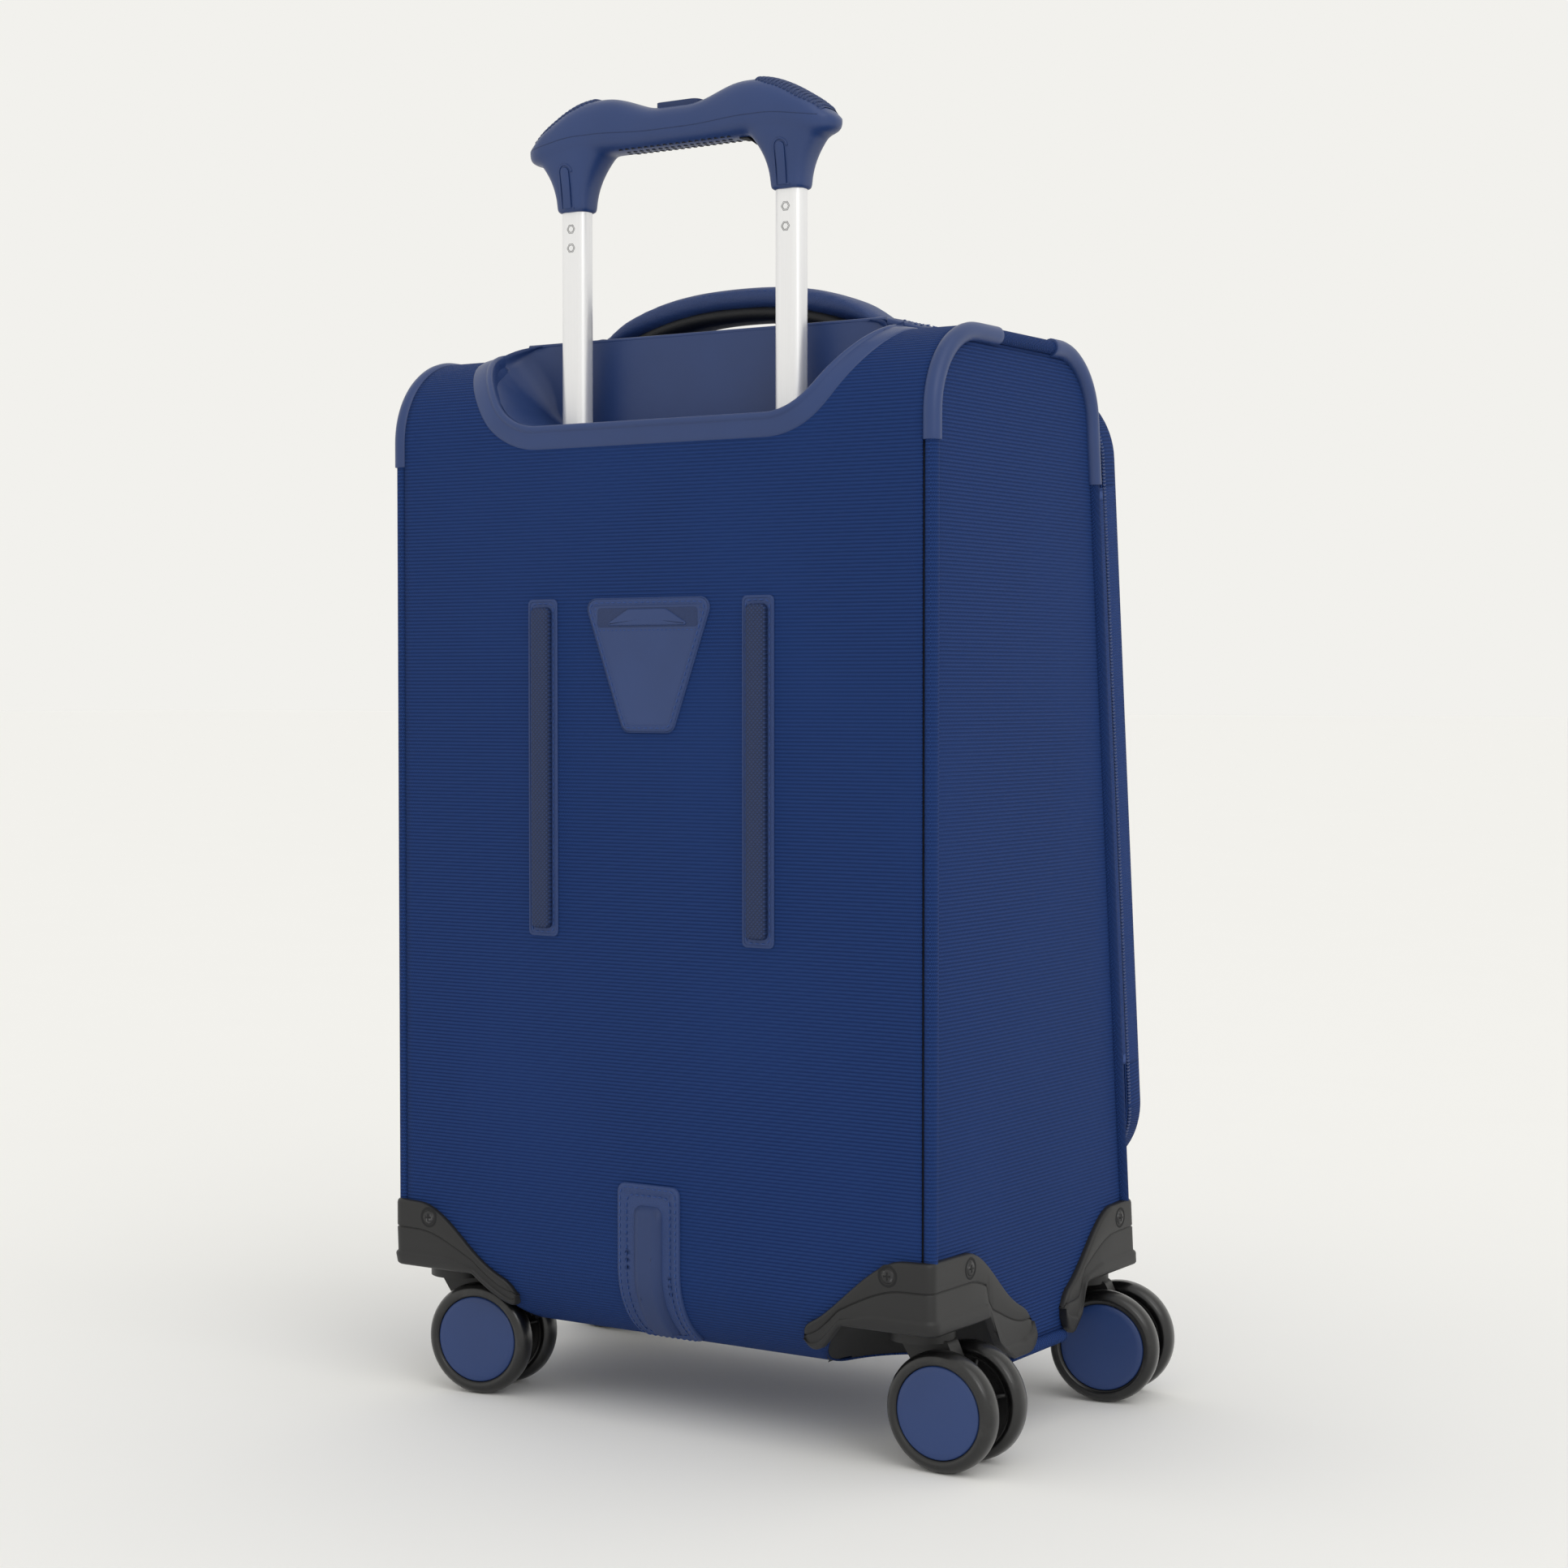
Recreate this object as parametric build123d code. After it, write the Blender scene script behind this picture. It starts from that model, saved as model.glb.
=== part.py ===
from build123d import *
from math import atan, cos, degrees, sin, sqrt
import os

# Softside upright spinner suitcase. Millimetres, +Z up, back panel towards +Y, lid towards -Y.
# The origin is on the floor, in the middle of the whole suitcase's box.
# "Depth" is measured forward from the back panel's fabric.

# ---------------------------------------------------------------- driving dimensions
CASE_WIDTH = 348.0            # over the fabric of the two side panels
CASE_TOP = 589.0              # floor to the top panel
CASE_BOTTOM = 43.0            # floor to the bottom panel
DEPTH_AT_TOP = 176.2          # back panel to the slanted front plane, at the top panel
DEPTH_AT_BOTTOM = 230.5       # the same at the bottom panel
REAR_TOP_RADIUS = 48.0
REAR_BOTTOM_RADIUS = 45.0
FRONT_TOP_RADIUS = 42.0
FRONT_BOTTOM_RADIUS = 24.0
REAR_STAND = 5.5              # how far the wear strips and guards stand behind the back panel

SKIN = 1.5                    # fabric thickness
BOARD = 5.0                   # panel board thickness
PIPING = 7.5                  # piping section
PIPING_PROUD = 1.0            # piping beyond the wrap's face
PIPING_SIDE = 3.5             # piping beyond the side panels
SLEEVE = 1.2                  # sleeve wall over the piping
RUNNING_GAP = 0.4             # between pieces that move past each other

LID_TO_GUARDS = 3.0           # guards' upper edge to the lid's lower edge
LID_SET_DOWN = 14.0           # top panel to the lid's upper edge
LID_SET_IN = 5.0              # side panels to the lid's side edges
LID_CORNER = 46.0
LID_WALL = 3.0
LID_DEPTH = 22.6              # depth of the lid's side wall
LID_ROUND = 11.0              # rounding of the lid's front edge
BAND_DEPTH = 13.5             # depth of the expansion band
ZIP_DEPTH = 1.6               # each half of a zipper, across its tape
ZIP_WIDTH = 9.0
FRAME_DEPTH = 12.0            # front frame, back from the front plane
WINDOW_MARGIN = 11.0          # front frame width inside the lid's edge
POCKET_BULGE = 19.5           # fullest point of the large pocket beyond the lid's face
POCKET_BULGE_RISE = 67.0      # lid's lower edge to the pocket's fullest point

TUBE_SPACING = 142.0          # between the centres of the handle's two legs
TUBE_DEPTH = 31.0             # back panel to the legs' centres
TUBE_WIDTH = 17.0             # innermost tube
TUBE_THICK = 12.0
TUBE_WALL = 1.2
STAGE_GAP = 0.3               # between one tube and the next
FOOT_RISE = 19.0              # wheel housing's ceiling to the tube foot
FOOT_HEIGHT = 20.0
INNER_TUBE_RISE = 144.0       # tube foot to the innermost tube
MIDDLE_TUBE_RISE = 22.0       # tube foot to the middle tube
GRIP_RISE = 77.0              # top panel to the grip's skirts
GRIP_HEIGHT = 60.0            # skirts to humps
GRIP_HALF_LENGTH = 101.0
GRIP_DEPTH = 32.0
TUBE_IN_GRIP = 14.0
BUTTON_TRAVEL = 4.0
BUTTON_LENGTH = 28.0
BUTTON_DEPTH = 12.0
PIN_RADIUS = 2.2
PIN_TRAVEL = 3.0
ROD_RADIUS = 1.5

TRAY_WALL = 2.5
TRAY_GAP = 8.0                # widest tube to the tray's front wall
TRAY_RISE = 9.0               # top of that wall above the top panel
RIM_DROP = 56.0               # top panel to the bezel's lower edge
RIM_HALF_LOW = 100.0
RIM_HALF_HIGH = 143.0
RIM_SHOULDER_RISE = 1.0       # the bezel's arms turn here, above the top panel
RIM_WIDTH = 13.0
RIM_PROUD = 3.0
RIM_NECK = 6.0                # bezel's overlap on the fabric

STRIP_SPACING = 142.0
STRIP_DROP = 82.0             # bezel to the strips' upper ends
STRIP_LENGTH = 185.5
STRIP_WIDTH = 20.0
RAIL_WIDTH = 14.0
STRIP_BASE = 1.6

PATCH_HEIGHT = 73.0
PATCH_HALF_HIGH = 43.0
PATCH_HALF_LOW = 16.5
PATCH_THICK = 2.6
TAG_HALF_WIDTH = 24.0
TAG_DROP = 7.0                # patch's upper edge to the tag's
TAG_HEIGHT = 44.0
TAG_THICK = 1.0

KICK_HALF_WIDTH = 20.5
KICK_RISE = 91.0              # bottom panel to its upper end
KICK_UNDER = 24.0             # how far it wraps under the case
KICK_THICK = 2.5
KICK_RIDGE = 3.0

KINGPIN_SIDE = 20.0           # kingpin inboard of the side panel
KINGPIN_REAR = 28.0           # rear kingpins forward of the back panel
KINGPIN_FRONT = 26.5          # front kingpins back from the case's lower front corner
WHEEL_HEADROOM = 10.0         # wheels to the wheel housing's ceiling
WHEEL_SWEEP_GAP = 4.5         # wheels' sweep to the housing, at the bottom panel
WELL_TAPER = 15.0             # the housing is this much narrower at its ceiling
WELL_WALL = 2.5
WHEEL_RADIUS = 31.5
WHEEL_WIDTH = 14.0
WHEEL_GAP = 16.0              # between the two wheels of a caster
TRAIL = 21.0
HUB_RADIUS = 17.5
WEB_THICK = 11.0
KINGPIN_RADIUS = 4.0
AXLE_RADIUS = 3.0
BEARING_GAP = 0.05
GUARD_RISE = 37.0             # wheel housing's ceiling to the guards' upper edge
GUARD_THICK = 4.0
GUARD_BEAD = 1.5
SCREW_RADIUS = 3.9
SHANK_RADIUS = 1.8
SCREW_DROP = 8.5              # guards' upper edge to the screws
SCREW_LENGTH = 9.0

HANDLE_DEPTH = 97.0           # back panel to the top handle's middle
HANDLE_WIDTH = 30.0
HANDLE_HALF_SPAN = 95.0
HANDLE_THICK = 12.5
HANDLE_RISE = 38.0            # top of the arch above the panel
ANCHOR_LENGTH = 39.0
ANCHOR_HEIGHT = 14.0
SIDE_HANDLE_DROP = 249.0      # top panel to the side handle's middle
SIDE_HANDLE_DEPTH = 105.0
SIDE_HANDLE_HALF_SPAN = 78.0
SIDE_HANDLE_RISE = 24.0
SIDE_ANCHOR_HEIGHT = 10.0

LINING_GAP = 4.0              # lining's clearance in front of the widest tube

# ---------------------------------------------------------------- derived places
HALF = CASE_WIDTH / 2
SLOPE = (DEPTH_AT_BOTTOM - DEPTH_AT_TOP) / (CASE_TOP - CASE_BOTTOM)
TILT = atan(SLOPE)
UP_Y, UP_Z = sin(TILT), cos(TILT)          # "up" along the front plane
OUT_Y, OUT_Z = -cos(TILT), sin(TILT)       # straight out of the front plane
WELL_TOP = 2 * WHEEL_RADIUS + WHEEL_HEADROOM
GUARD_HIGH = WELL_TOP + GUARD_RISE
SCREW_HIGH = GUARD_HIGH - SCREW_DROP
LID_LOW, LID_HIGH = GUARD_HIGH + LID_TO_GUARDS, CASE_TOP - LID_SET_DOWN
LID_HALF_WIDTH = HALF - LID_SET_IN
LID_MIDDLE = (LID_LOW + LID_HIGH) / 2
LID_HALF_HEIGHT = (LID_HIGH - LID_LOW) / 2 / cos(TILT)
POCKET_BULGE_DROP = LID_HALF_HEIGHT - POCKET_BULGE_RISE


def front_depth(z):
    """Depth of the case's front plane at height z."""
    return DEPTH_AT_BOTTOM - SLOPE * (z - CASE_BOTTOM)


# each layer in front of the case, as its distance out of the front plane
BAND_BACK = ZIP_DEPTH * 2 + RUNNING_GAP
BAND_FRONT = BAND_BACK + BAND_DEPTH
HINGE_OUT = BAND_FRONT + ZIP_DEPTH + RUNNING_GAP / 2
LID_BACK = BAND_FRONT + ZIP_DEPTH * 2 + RUNNING_GAP
LID_FACE = LID_BACK + LID_DEPTH
FRONT_MOST = (front_depth(LID_MIDDLE) + POCKET_BULGE_DROP * sin(TILT)
              + (LID_FACE + POCKET_BULGE) * cos(TILT))
BACK_Y = (FRONT_MOST - REAR_STAND) / 2     # the back panel's place, which centres the box
INNER = SKIN + BOARD                       # fabric and board together
MIDDLE_GROW = 2 * (TUBE_WALL + STAGE_GAP)  # each tube is this much larger than the one inside it
WIDEST_TUBE = TUBE_DEPTH + TUBE_THICK / 2 + MIDDLE_GROW
LINING_DEPTH = WIDEST_TUBE + LINING_GAP
TRAY_DEPTH = WIDEST_TUBE + TRAY_GAP
TRAY_TOP = CASE_TOP + TRAY_RISE
RIM_LOW = CASE_TOP - RIM_DROP
RIM_SHOULDER = CASE_TOP + RIM_SHOULDER_RISE
TRAY_FLOOR = RIM_LOW + RIM_WIDTH
GRIP_LOW = CASE_TOP + GRIP_RISE
GRIP_HIGH = GRIP_LOW + GRIP_HEIGHT
STRIP_HIGH = RIM_LOW - STRIP_DROP
STRIP_LOW = STRIP_HIGH - STRIP_LENGTH
PATCH_HIGH = STRIP_HIGH
PATCH_LOW = PATCH_HIGH - PATCH_HEIGHT
TAG_HIGH = PATCH_HIGH - TAG_DROP
TAG_LOW = TAG_HIGH - TAG_HEIGHT
KICK_HIGH = CASE_BOTTOM + KICK_RISE
SIDE_HANDLE_MIDDLE = CASE_TOP - SIDE_HANDLE_DROP
WELL_RADIUS_LOW = TRAIL + WHEEL_RADIUS + WHEEL_SWEEP_GAP
WELL_RADIUS_TOP = WELL_RADIUS_LOW - WELL_TAPER
FOOT_LOW = WELL_TOP + FOOT_RISE
MIDDLE_TUBE_LOW = FOOT_LOW + MIDDLE_TUBE_RISE
INNER_TUBE_LOW = FOOT_LOW + INNER_TUBE_RISE
TUBE_TOP = GRIP_LOW + TUBE_IN_GRIP


def at(depth):
    """Y of a point that lies this far forward of the back panel."""
    return BACK_Y - depth


def box(x0, x1, depth0, depth1, z0, z1):
    """A block between two X values, two depths and two heights."""
    block = Box(abs(x1 - x0), abs(depth1 - depth0), abs(z1 - z0))
    return block.moved(Location(((x0 + x1) / 2, at((depth0 + depth1) / 2), (z0 + z1) / 2)))


def side_outline(inset):
    """The case's side view, moved inwards by inset, as a face in the YZ plane."""
    top = CASE_TOP - inset
    bottom = CASE_BOTTOM + inset
    slant = inset / cos(TILT)
    corners = [(inset, bottom), (inset, top),
               (front_depth(top) - slant, top), (front_depth(bottom) - slant, bottom)]
    radii = [r - inset for r in
             (REAR_BOTTOM_RADIUS, REAR_TOP_RADIUS, FRONT_TOP_RADIUS, FRONT_BOTTOM_RADIUS)]
    wire = FilletPolyline(*[(at(d), z) for d, z in corners], radius=radii, close=True)
    return make_face(Plane.YZ * wire)


def case_block(inset, half_width):
    """The case's solid outer form, inset all round and cut to a half width."""
    return extrude(side_outline(inset), half_width, both=True)


def along_depth(face, depth0, depth1):
    """A face drawn in X and Z, carried from one depth to another."""
    start = Plane(origin=(0, at(depth0), 0), x_dir=(1, 0, 0), z_dir=(0, -1, 0))
    return extrude(start * face, depth1 - depth0)


def across(face, x0, x1):
    """A face drawn in Y and Z, carried from one X to another."""
    return extrude(Plane.YZ.offset(x0) * face, x1 - x0)


def lid_plane(out):
    """A plane parallel to the front plane, this far out; its Y runs up the lid."""
    y = at(front_depth(LID_MIDDLE)) + out * OUT_Y
    return Plane(origin=(0, y, LID_MIDDLE + out * OUT_Z), x_dir=(1, 0, 0), z_dir=(0, OUT_Y, OUT_Z))


def lid_slab(inset, out0, out1):
    """The lid's outline, moved inwards by inset, between two distances out."""
    shape = RectangleRounded(2 * (LID_HALF_WIDTH - inset), 2 * (LID_HALF_HEIGHT - inset),
                             LID_CORNER - inset)
    return extrude(lid_plane(out0) * shape, out1 - out0)


def lid_block(x0, x1, up0, up1, out0, out1):
    """A block in the lid's own directions."""
    shape = Pos((x0 + x1) / 2, (up0 + up1) / 2) * Rectangle(x1 - x0, up1 - up0)
    return extrude(lid_plane(out0) * shape, out1 - out0)


def rim_face(inset):
    """The U of the handle bezel, moved inwards, open upwards above the case."""
    high = CASE_TOP + 60.0
    points = [(-RIM_HALF_HIGH, high), (-RIM_HALF_HIGH, RIM_SHOULDER), (-RIM_HALF_LOW, RIM_LOW),
              (RIM_HALF_LOW, RIM_LOW), (RIM_HALF_HIGH, RIM_SHOULDER), (RIM_HALF_HIGH, high)]
    face = make_face(FilletPolyline(*points, radius=[1.0, 30.0, 50.0, 50.0, 30.0, 1.0], close=True))
    return offset(face, -inset) if inset else face


def tube_block(grow, z0, z1, side):
    """One leg's rounded section, larger by grow, between two heights."""
    shape = RectangleRounded(TUBE_WIDTH + grow, TUBE_THICK + grow, 5.0 + grow / 2)
    place = Plane(origin=(side * TUBE_SPACING / 2, at(TUBE_DEPTH), z0))
    return extrude(place * shape, z1 - z0)


def tube(grow, z0, z1, side):
    """One leg's hollow tube."""
    return tube_block(grow, z0, z1, side) - tube_block(grow - 2 * TUBE_WALL, z0 - 1, z1 + 1, side)


def cylinder_x(radius, x0, x1, y, z):
    return extrude(Plane(origin=(x0, y, z), z_dir=(1, 0, 0)) * Circle(radius), x1 - x0)


def cylinder_y(radius, x, y0, y1, z):
    return extrude(Plane(origin=(x, y0, z), z_dir=(0, 1, 0)) * Circle(radius), y1 - y0)


def cylinder_z(radius, x, y, z0, z1):
    return extrude(Plane(origin=(x, y, z0)) * Circle(radius), z1 - z0)


parts = {}

# ---------------------------------------------------------------- wheel places and housings
KINGPIN_X = HALF - KINGPIN_SIDE
REAR_Y = at(KINGPIN_REAR)
FRONT_Y = at(DEPTH_AT_BOTTOM - KINGPIN_FRONT)
CORNERS = {                                # place of the kingpin, and the caster's resting heading
    "rear_left": (KINGPIN_X, REAR_Y, 190.0),
    "rear_right": (-KINGPIN_X, REAR_Y, 180.0),
    "front_left": (KINGPIN_X, FRONT_Y, -9.0),
    "front_right": (-KINGPIN_X, FRONT_Y, 189.0),
}
WELL_FLARE = (WELL_RADIUS_LOW - WELL_RADIUS_TOP) / (WELL_TOP - CASE_BOTTOM)


def well_cone(x, y, grow, top):
    """The flared space the wheels swing in, larger by grow, up to a height."""
    low = CASE_BOTTOM - 12.0
    high_radius = WELL_RADIUS_TOP - WELL_FLARE * (top - WELL_TOP) + grow
    low_radius = WELL_RADIUS_LOW + WELL_FLARE * (CASE_BOTTOM - low) + grow
    cone = Cone(low_radius, high_radius, top - low, align=(Align.CENTER, Align.CENTER, Align.MIN))
    return cone.moved(Location((x, y, low)))


def kingpin_hole(x, y):
    return cylinder_z(KINGPIN_RADIUS, x, y, WELL_TOP - 1, WELL_TOP + WELL_WALL + 1)


WELLS = [well_cone(x, y, WELL_WALL, WELL_TOP + WELL_WALL) for x, y, heading in CORNERS.values()]

# ---------------------------------------------------------------- guard screws
# Each guard has one screw into the back or front panel and one into the side panel.
FACE_SCREW_X = HALF - 22.0
REAR_SIDE_SCREW = at(36.5)
FRONT_SIDE_SCREW = at(front_depth(SCREW_HIGH) - 15.0)


def screw(side, rear, on_side, radius, length, sunk):
    """A screw's head or shank, as a plain cylinder from the guard's face inwards."""
    if on_side:
        y = REAR_SIDE_SCREW if rear else FRONT_SIDE_SCREW
        outer = HALF + GUARD_THICK - sunk
        x0, x1 = sorted((side * outer, side * (outer - length)))
        return cylinder_x(radius, x0, x1, y, SCREW_HIGH)
    if rear:
        y = at(-GUARD_THICK + sunk)
        return cylinder_y(radius, side * FACE_SCREW_X, y - length, y, SCREW_HIGH)
    y = at(front_depth(SCREW_HIGH)) - (GUARD_THICK - sunk)
    return cylinder_y(radius, side * FACE_SCREW_X, y, y + length, SCREW_HIGH)


SCREW_PLACES = [(side, rear, on_side) for side in (1, -1) for rear in (True, False)
                for on_side in (True, False)]
HEAD_SUNK = 0.8
HEAD_DEPTH = 2.2
heads = [screw(*place, SCREW_RADIUS, HEAD_DEPTH, HEAD_SUNK) for place in SCREW_PLACES]
shanks = [screw(*place, SHANK_RADIUS, SCREW_LENGTH, HEAD_SUNK + HEAD_DEPTH) for place in SCREW_PLACES]
head_holes = [screw(*place, SCREW_RADIUS, HEAD_DEPTH + HEAD_SUNK + 5.0, -5.0) for place in SCREW_PLACES]
SHANK_CUT = Compound(children=shanks)
parts["guard_screws"] = [head + shank for head, shank in zip(heads, shanks)]

# ---------------------------------------------------------------- panels of the case
WRAP_HALF = HALF + PIPING_SIDE - PIPING        # half width of the fabric wrap, up to the piping
SIDE_INSET = PIPING - PIPING_PROUD                    # side panels lie inside the piping
lid_window = lid_slab(WINDOW_MARGIN, -FRAME_DEPTH - 30.0, 10.0)
opening = along_depth(rim_face(RIM_NECK), -20.0, TRAY_DEPTH + TRAY_WALL)


def cut_wells(solid):
    for well in WELLS:
        solid = solid - well
    return solid


wrap_boards = case_block(SKIN, WRAP_HALF) - case_block(INNER, WRAP_HALF + 1)
wrap_boards = cut_wells(wrap_boards - lid_window - opening) - SHANK_CUT
front_zone = extrude(lid_plane(-FRAME_DEPTH) * Rectangle(3 * CASE_WIDTH, 3 * CASE_TOP), 60.0)
low_split = CASE_BOTTOM + REAR_BOTTOM_RADIUS
high_split = CASE_TOP - REAR_TOP_RADIUS
below = box(-CASE_WIDTH, CASE_WIDTH, -50, 400, -50, low_split)
above = box(-CASE_WIDTH, CASE_WIDTH, -50, 400, high_split, 900)
inner_boards = wrap_boards - front_zone
parts["back_board"] = inner_boards - below - above
parts["top_board"] = inner_boards & above
parts["bottom_board"] = inner_boards & below
parts["front_frame"] = wrap_boards & front_zone

side_block = case_block(INNER, HALF - SKIN) - case_block(INNER - 1, HALF - INNER)
parts["side_boards"] = cut_wells(side_block) - SHANK_CUT
side_skin = case_block(SIDE_INSET, HALF) - case_block(SIDE_INSET - 1, HALF - SKIN)
parts["side_covers"] = cut_wells(side_skin) - SHANK_CUT
wrap_skin = case_block(0, WRAP_HALF) - case_block(SKIN, WRAP_HALF + 1)
parts["case_cover"] = cut_wells(wrap_skin - lid_window - opening) - SHANK_CUT

# ---------------------------------------------------------------- corner guards
REAR_ARM_TOP, REAR_ARM_TIP = 60.0, 102.0              # along the side, from the back panel
FRONT_ARM_TOP, FRONT_ARM_TIP = 46.0, 88.0             # along the side, from the front corner
FACE_ARM_TOP, FACE_ARM_TIP = 38.0, 78.0               # across the back or front, from the side


def arm_face(edge, inward, top, tip):
    """An arm's outline: flat top, falling to a rounded tip near the bottom panel."""
    low = CASE_BOTTOM + 2.0
    points = [(edge - inward * 30, GUARD_HIGH), (edge + inward * top, GUARD_HIGH),
              (edge + inward * (top + 0.6 * (tip - top)), GUARD_HIGH - 24.0),
              (edge + inward * tip, GUARD_HIGH - 41.0), (edge + inward * (tip - 5.0), low),
              (edge - inward * 30, low)]
    wire = FilletPolyline(*points, radius=[1.0, 12.0, 25.0, 7.0, 3.0, 1.0], close=True)
    return make_face(wire)


case_core = case_block(0, WRAP_HALF) + case_block(SIDE_INSET, HALF)
guard_layer = case_block(-GUARD_THICK, HALF + GUARD_THICK) - case_core
bead_thick = GUARD_THICK + GUARD_BEAD
bead_layer = case_block(-bead_thick, HALF + bead_thick) - case_core
BEAD_LOW, BEAD_HIGH = WELL_TOP, WELL_TOP + 7.0
bead_layer = bead_layer & box(-CASE_WIDTH, CASE_WIDTH, -50, 400, BEAD_LOW, BEAD_HIGH)
guard_form = guard_layer + bead_layer


def guard_zone(side, rear):
    """The space that one corner's guard may fill."""
    face_arm = arm_face(side * HALF, -side, FACE_ARM_TOP, FACE_ARM_TIP)
    if rear:
        face_part = along_depth(face_arm, -20.0, 40.0)
        side_face = arm_face(at(0), -1, REAR_ARM_TOP, REAR_ARM_TIP)
    else:
        face_part = along_depth(face_arm, DEPTH_AT_BOTTOM - 30.0, DEPTH_AT_BOTTOM + 30.0)
        side_face = arm_face(at(DEPTH_AT_BOTTOM), 1, FRONT_ARM_TOP, FRONT_ARM_TIP)
    side_part = across(side_face, *sorted((side * (HALF - 12.0), side * (HALF + 20.0))))
    return face_part + side_part


ZONES = {(side, rear): guard_zone(side, rear) for side in (1, -1) for rear in (True, False)}
head_cut = Compound(children=head_holes)
for rear, name in ((True, "rear_guards"), (False, "front_guards")):
    pair = []
    for side in (1, -1):
        y = REAR_Y if rear else FRONT_Y
        x = side * KINGPIN_X
        shell = guard_form & ZONES[side, rear]
        cup = well_cone(x, y, WELL_WALL, WELL_TOP + WELL_WALL) & case_core
        guard = (shell + cup) - well_cone(x, y, 0, WELL_TOP) - kingpin_hole(x, y)
        pair.append(guard - head_cut - SHANK_CUT)
    parts[name] = pair

# ---------------------------------------------------------------- piping and its corner sleeves
piping_ring = case_block(-PIPING_PROUD, HALF + PIPING_SIDE) - case_block(SIDE_INSET, HALF + PIPING_SIDE + 1)
piping_ring = cut_wells(piping_ring - box(-WRAP_HALF, WRAP_HALF, -50, 400, -50, 900))
for zone in ZONES.values():
    piping_ring = piping_ring - zone
parts["side_piping"] = piping_ring

SLEEVE_LOW_REAR, SLEEVE_END_REAR = CASE_TOP - 62.0, 72.0
SLEEVE_LOW_FRONT, SLEEVE_END_FRONT = CASE_TOP - 75.0, DEPTH_AT_TOP - 49.0
sleeve_ring = case_block(-PIPING_PROUD - SLEEVE, HALF + PIPING_SIDE + SLEEVE)
sleeve_ring = sleeve_ring - case_block(-PIPING_PROUD, HALF + PIPING_SIDE) - case_block(SIDE_INSET, CASE_WIDTH)
sleeve_ring = sleeve_ring - box(-WRAP_HALF, WRAP_HALF, -50, 400, -50, 900)
sleeve_rear = sleeve_ring & box(-300, 300, -50, SLEEVE_END_REAR, SLEEVE_LOW_REAR, 900)
sleeve_front = sleeve_ring & box(-300, 300, SLEEVE_END_FRONT, 400, SLEEVE_LOW_FRONT, 900)
parts["corner_sleeves"] = [sleeve_rear, sleeve_front]

# ---------------------------------------------------------------- handle tray and bezel
rim_reach = TRAY_DEPTH + TRAY_WALL + 4.0
flange = along_depth(rim_face(0) - rim_face(RIM_WIDTH), -20.0, rim_reach)
flange = flange & (case_block(-RIM_PROUD, HALF) - case_block(0, HALF + 1))
neck = along_depth(rim_face(RIM_NECK) - rim_face(RIM_WIDTH - TRAY_WALL), -20.0, TRAY_DEPTH + TRAY_WALL)
neck = neck & (case_block(0, HALF) - case_block(INNER, HALF + 1))
parts["handle_bezel"] = flange + neck

tray = along_depth(rim_face(RIM_WIDTH - TRAY_WALL), -20.0, TRAY_DEPTH + TRAY_WALL)
tray = tray - along_depth(rim_face(RIM_WIDTH), -21.0, TRAY_DEPTH)
wall_half = RIM_HALF_HIGH - RIM_WIDTH - 12.0
tray_wall = box(-wall_half, wall_half, TRAY_DEPTH, TRAY_DEPTH + TRAY_WALL, TRAY_FLOOR, TRAY_TOP)
tray = (tray & case_block(0, HALF)) + tray_wall
tray = tray - (flange + neck)
for side in (1, -1):
    tray = tray - tube_block(2 * MIDDLE_GROW, TRAY_FLOOR - 30, TRAY_FLOOR + 30, side)
parts["handle_tray"] = tray

# ---------------------------------------------------------------- telescopic handle
outer_tubes, middle_tubes, inner_tubes, lock_pins = [], [], [], []
foot_half = TUBE_SPACING / 2 + (TUBE_WIDTH + 2 * MIDDLE_GROW) / 2 + 5.0
foot_front = LINING_DEPTH
foot = box(-foot_half, foot_half, INNER, foot_front, FOOT_LOW, FOOT_LOW + FOOT_HEIGHT)
PIN_HIGH = INNER_TUBE_LOW + 6.0
pin_reach = TUBE_THICK / 2 - 0.1
for side in (1, -1):
    x = side * TUBE_SPACING / 2
    outer_tubes.append(tube(2 * MIDDLE_GROW, FOOT_LOW + 4.0, TRAY_FLOOR, side))
    foot = foot - tube_block(2 * MIDDLE_GROW, FOOT_LOW + 4.0, 900, side)
    middle_tubes.append(tube(MIDDLE_GROW, MIDDLE_TUBE_LOW, TRAY_FLOOR, side))
    hole = cylinder_y(PIN_RADIUS + BEARING_GAP, x, at(TUBE_DEPTH), at(TUBE_DEPTH) + TUBE_THICK, PIN_HIGH)
    inner_tubes.append(tube(0, INNER_TUBE_LOW, TUBE_TOP, side) - hole)
    lock_pins.append(cylinder_y(PIN_RADIUS, x, at(TUBE_DEPTH) - 1.0, at(TUBE_DEPTH) + pin_reach, PIN_HIGH))
parts["outer_tubes"] = outer_tubes
parts["tube_foot"] = foot
parts["middle_tubes"] = middle_tubes
parts["inner_tubes"] = inner_tubes
parts["lock_pins"] = lock_pins

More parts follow.
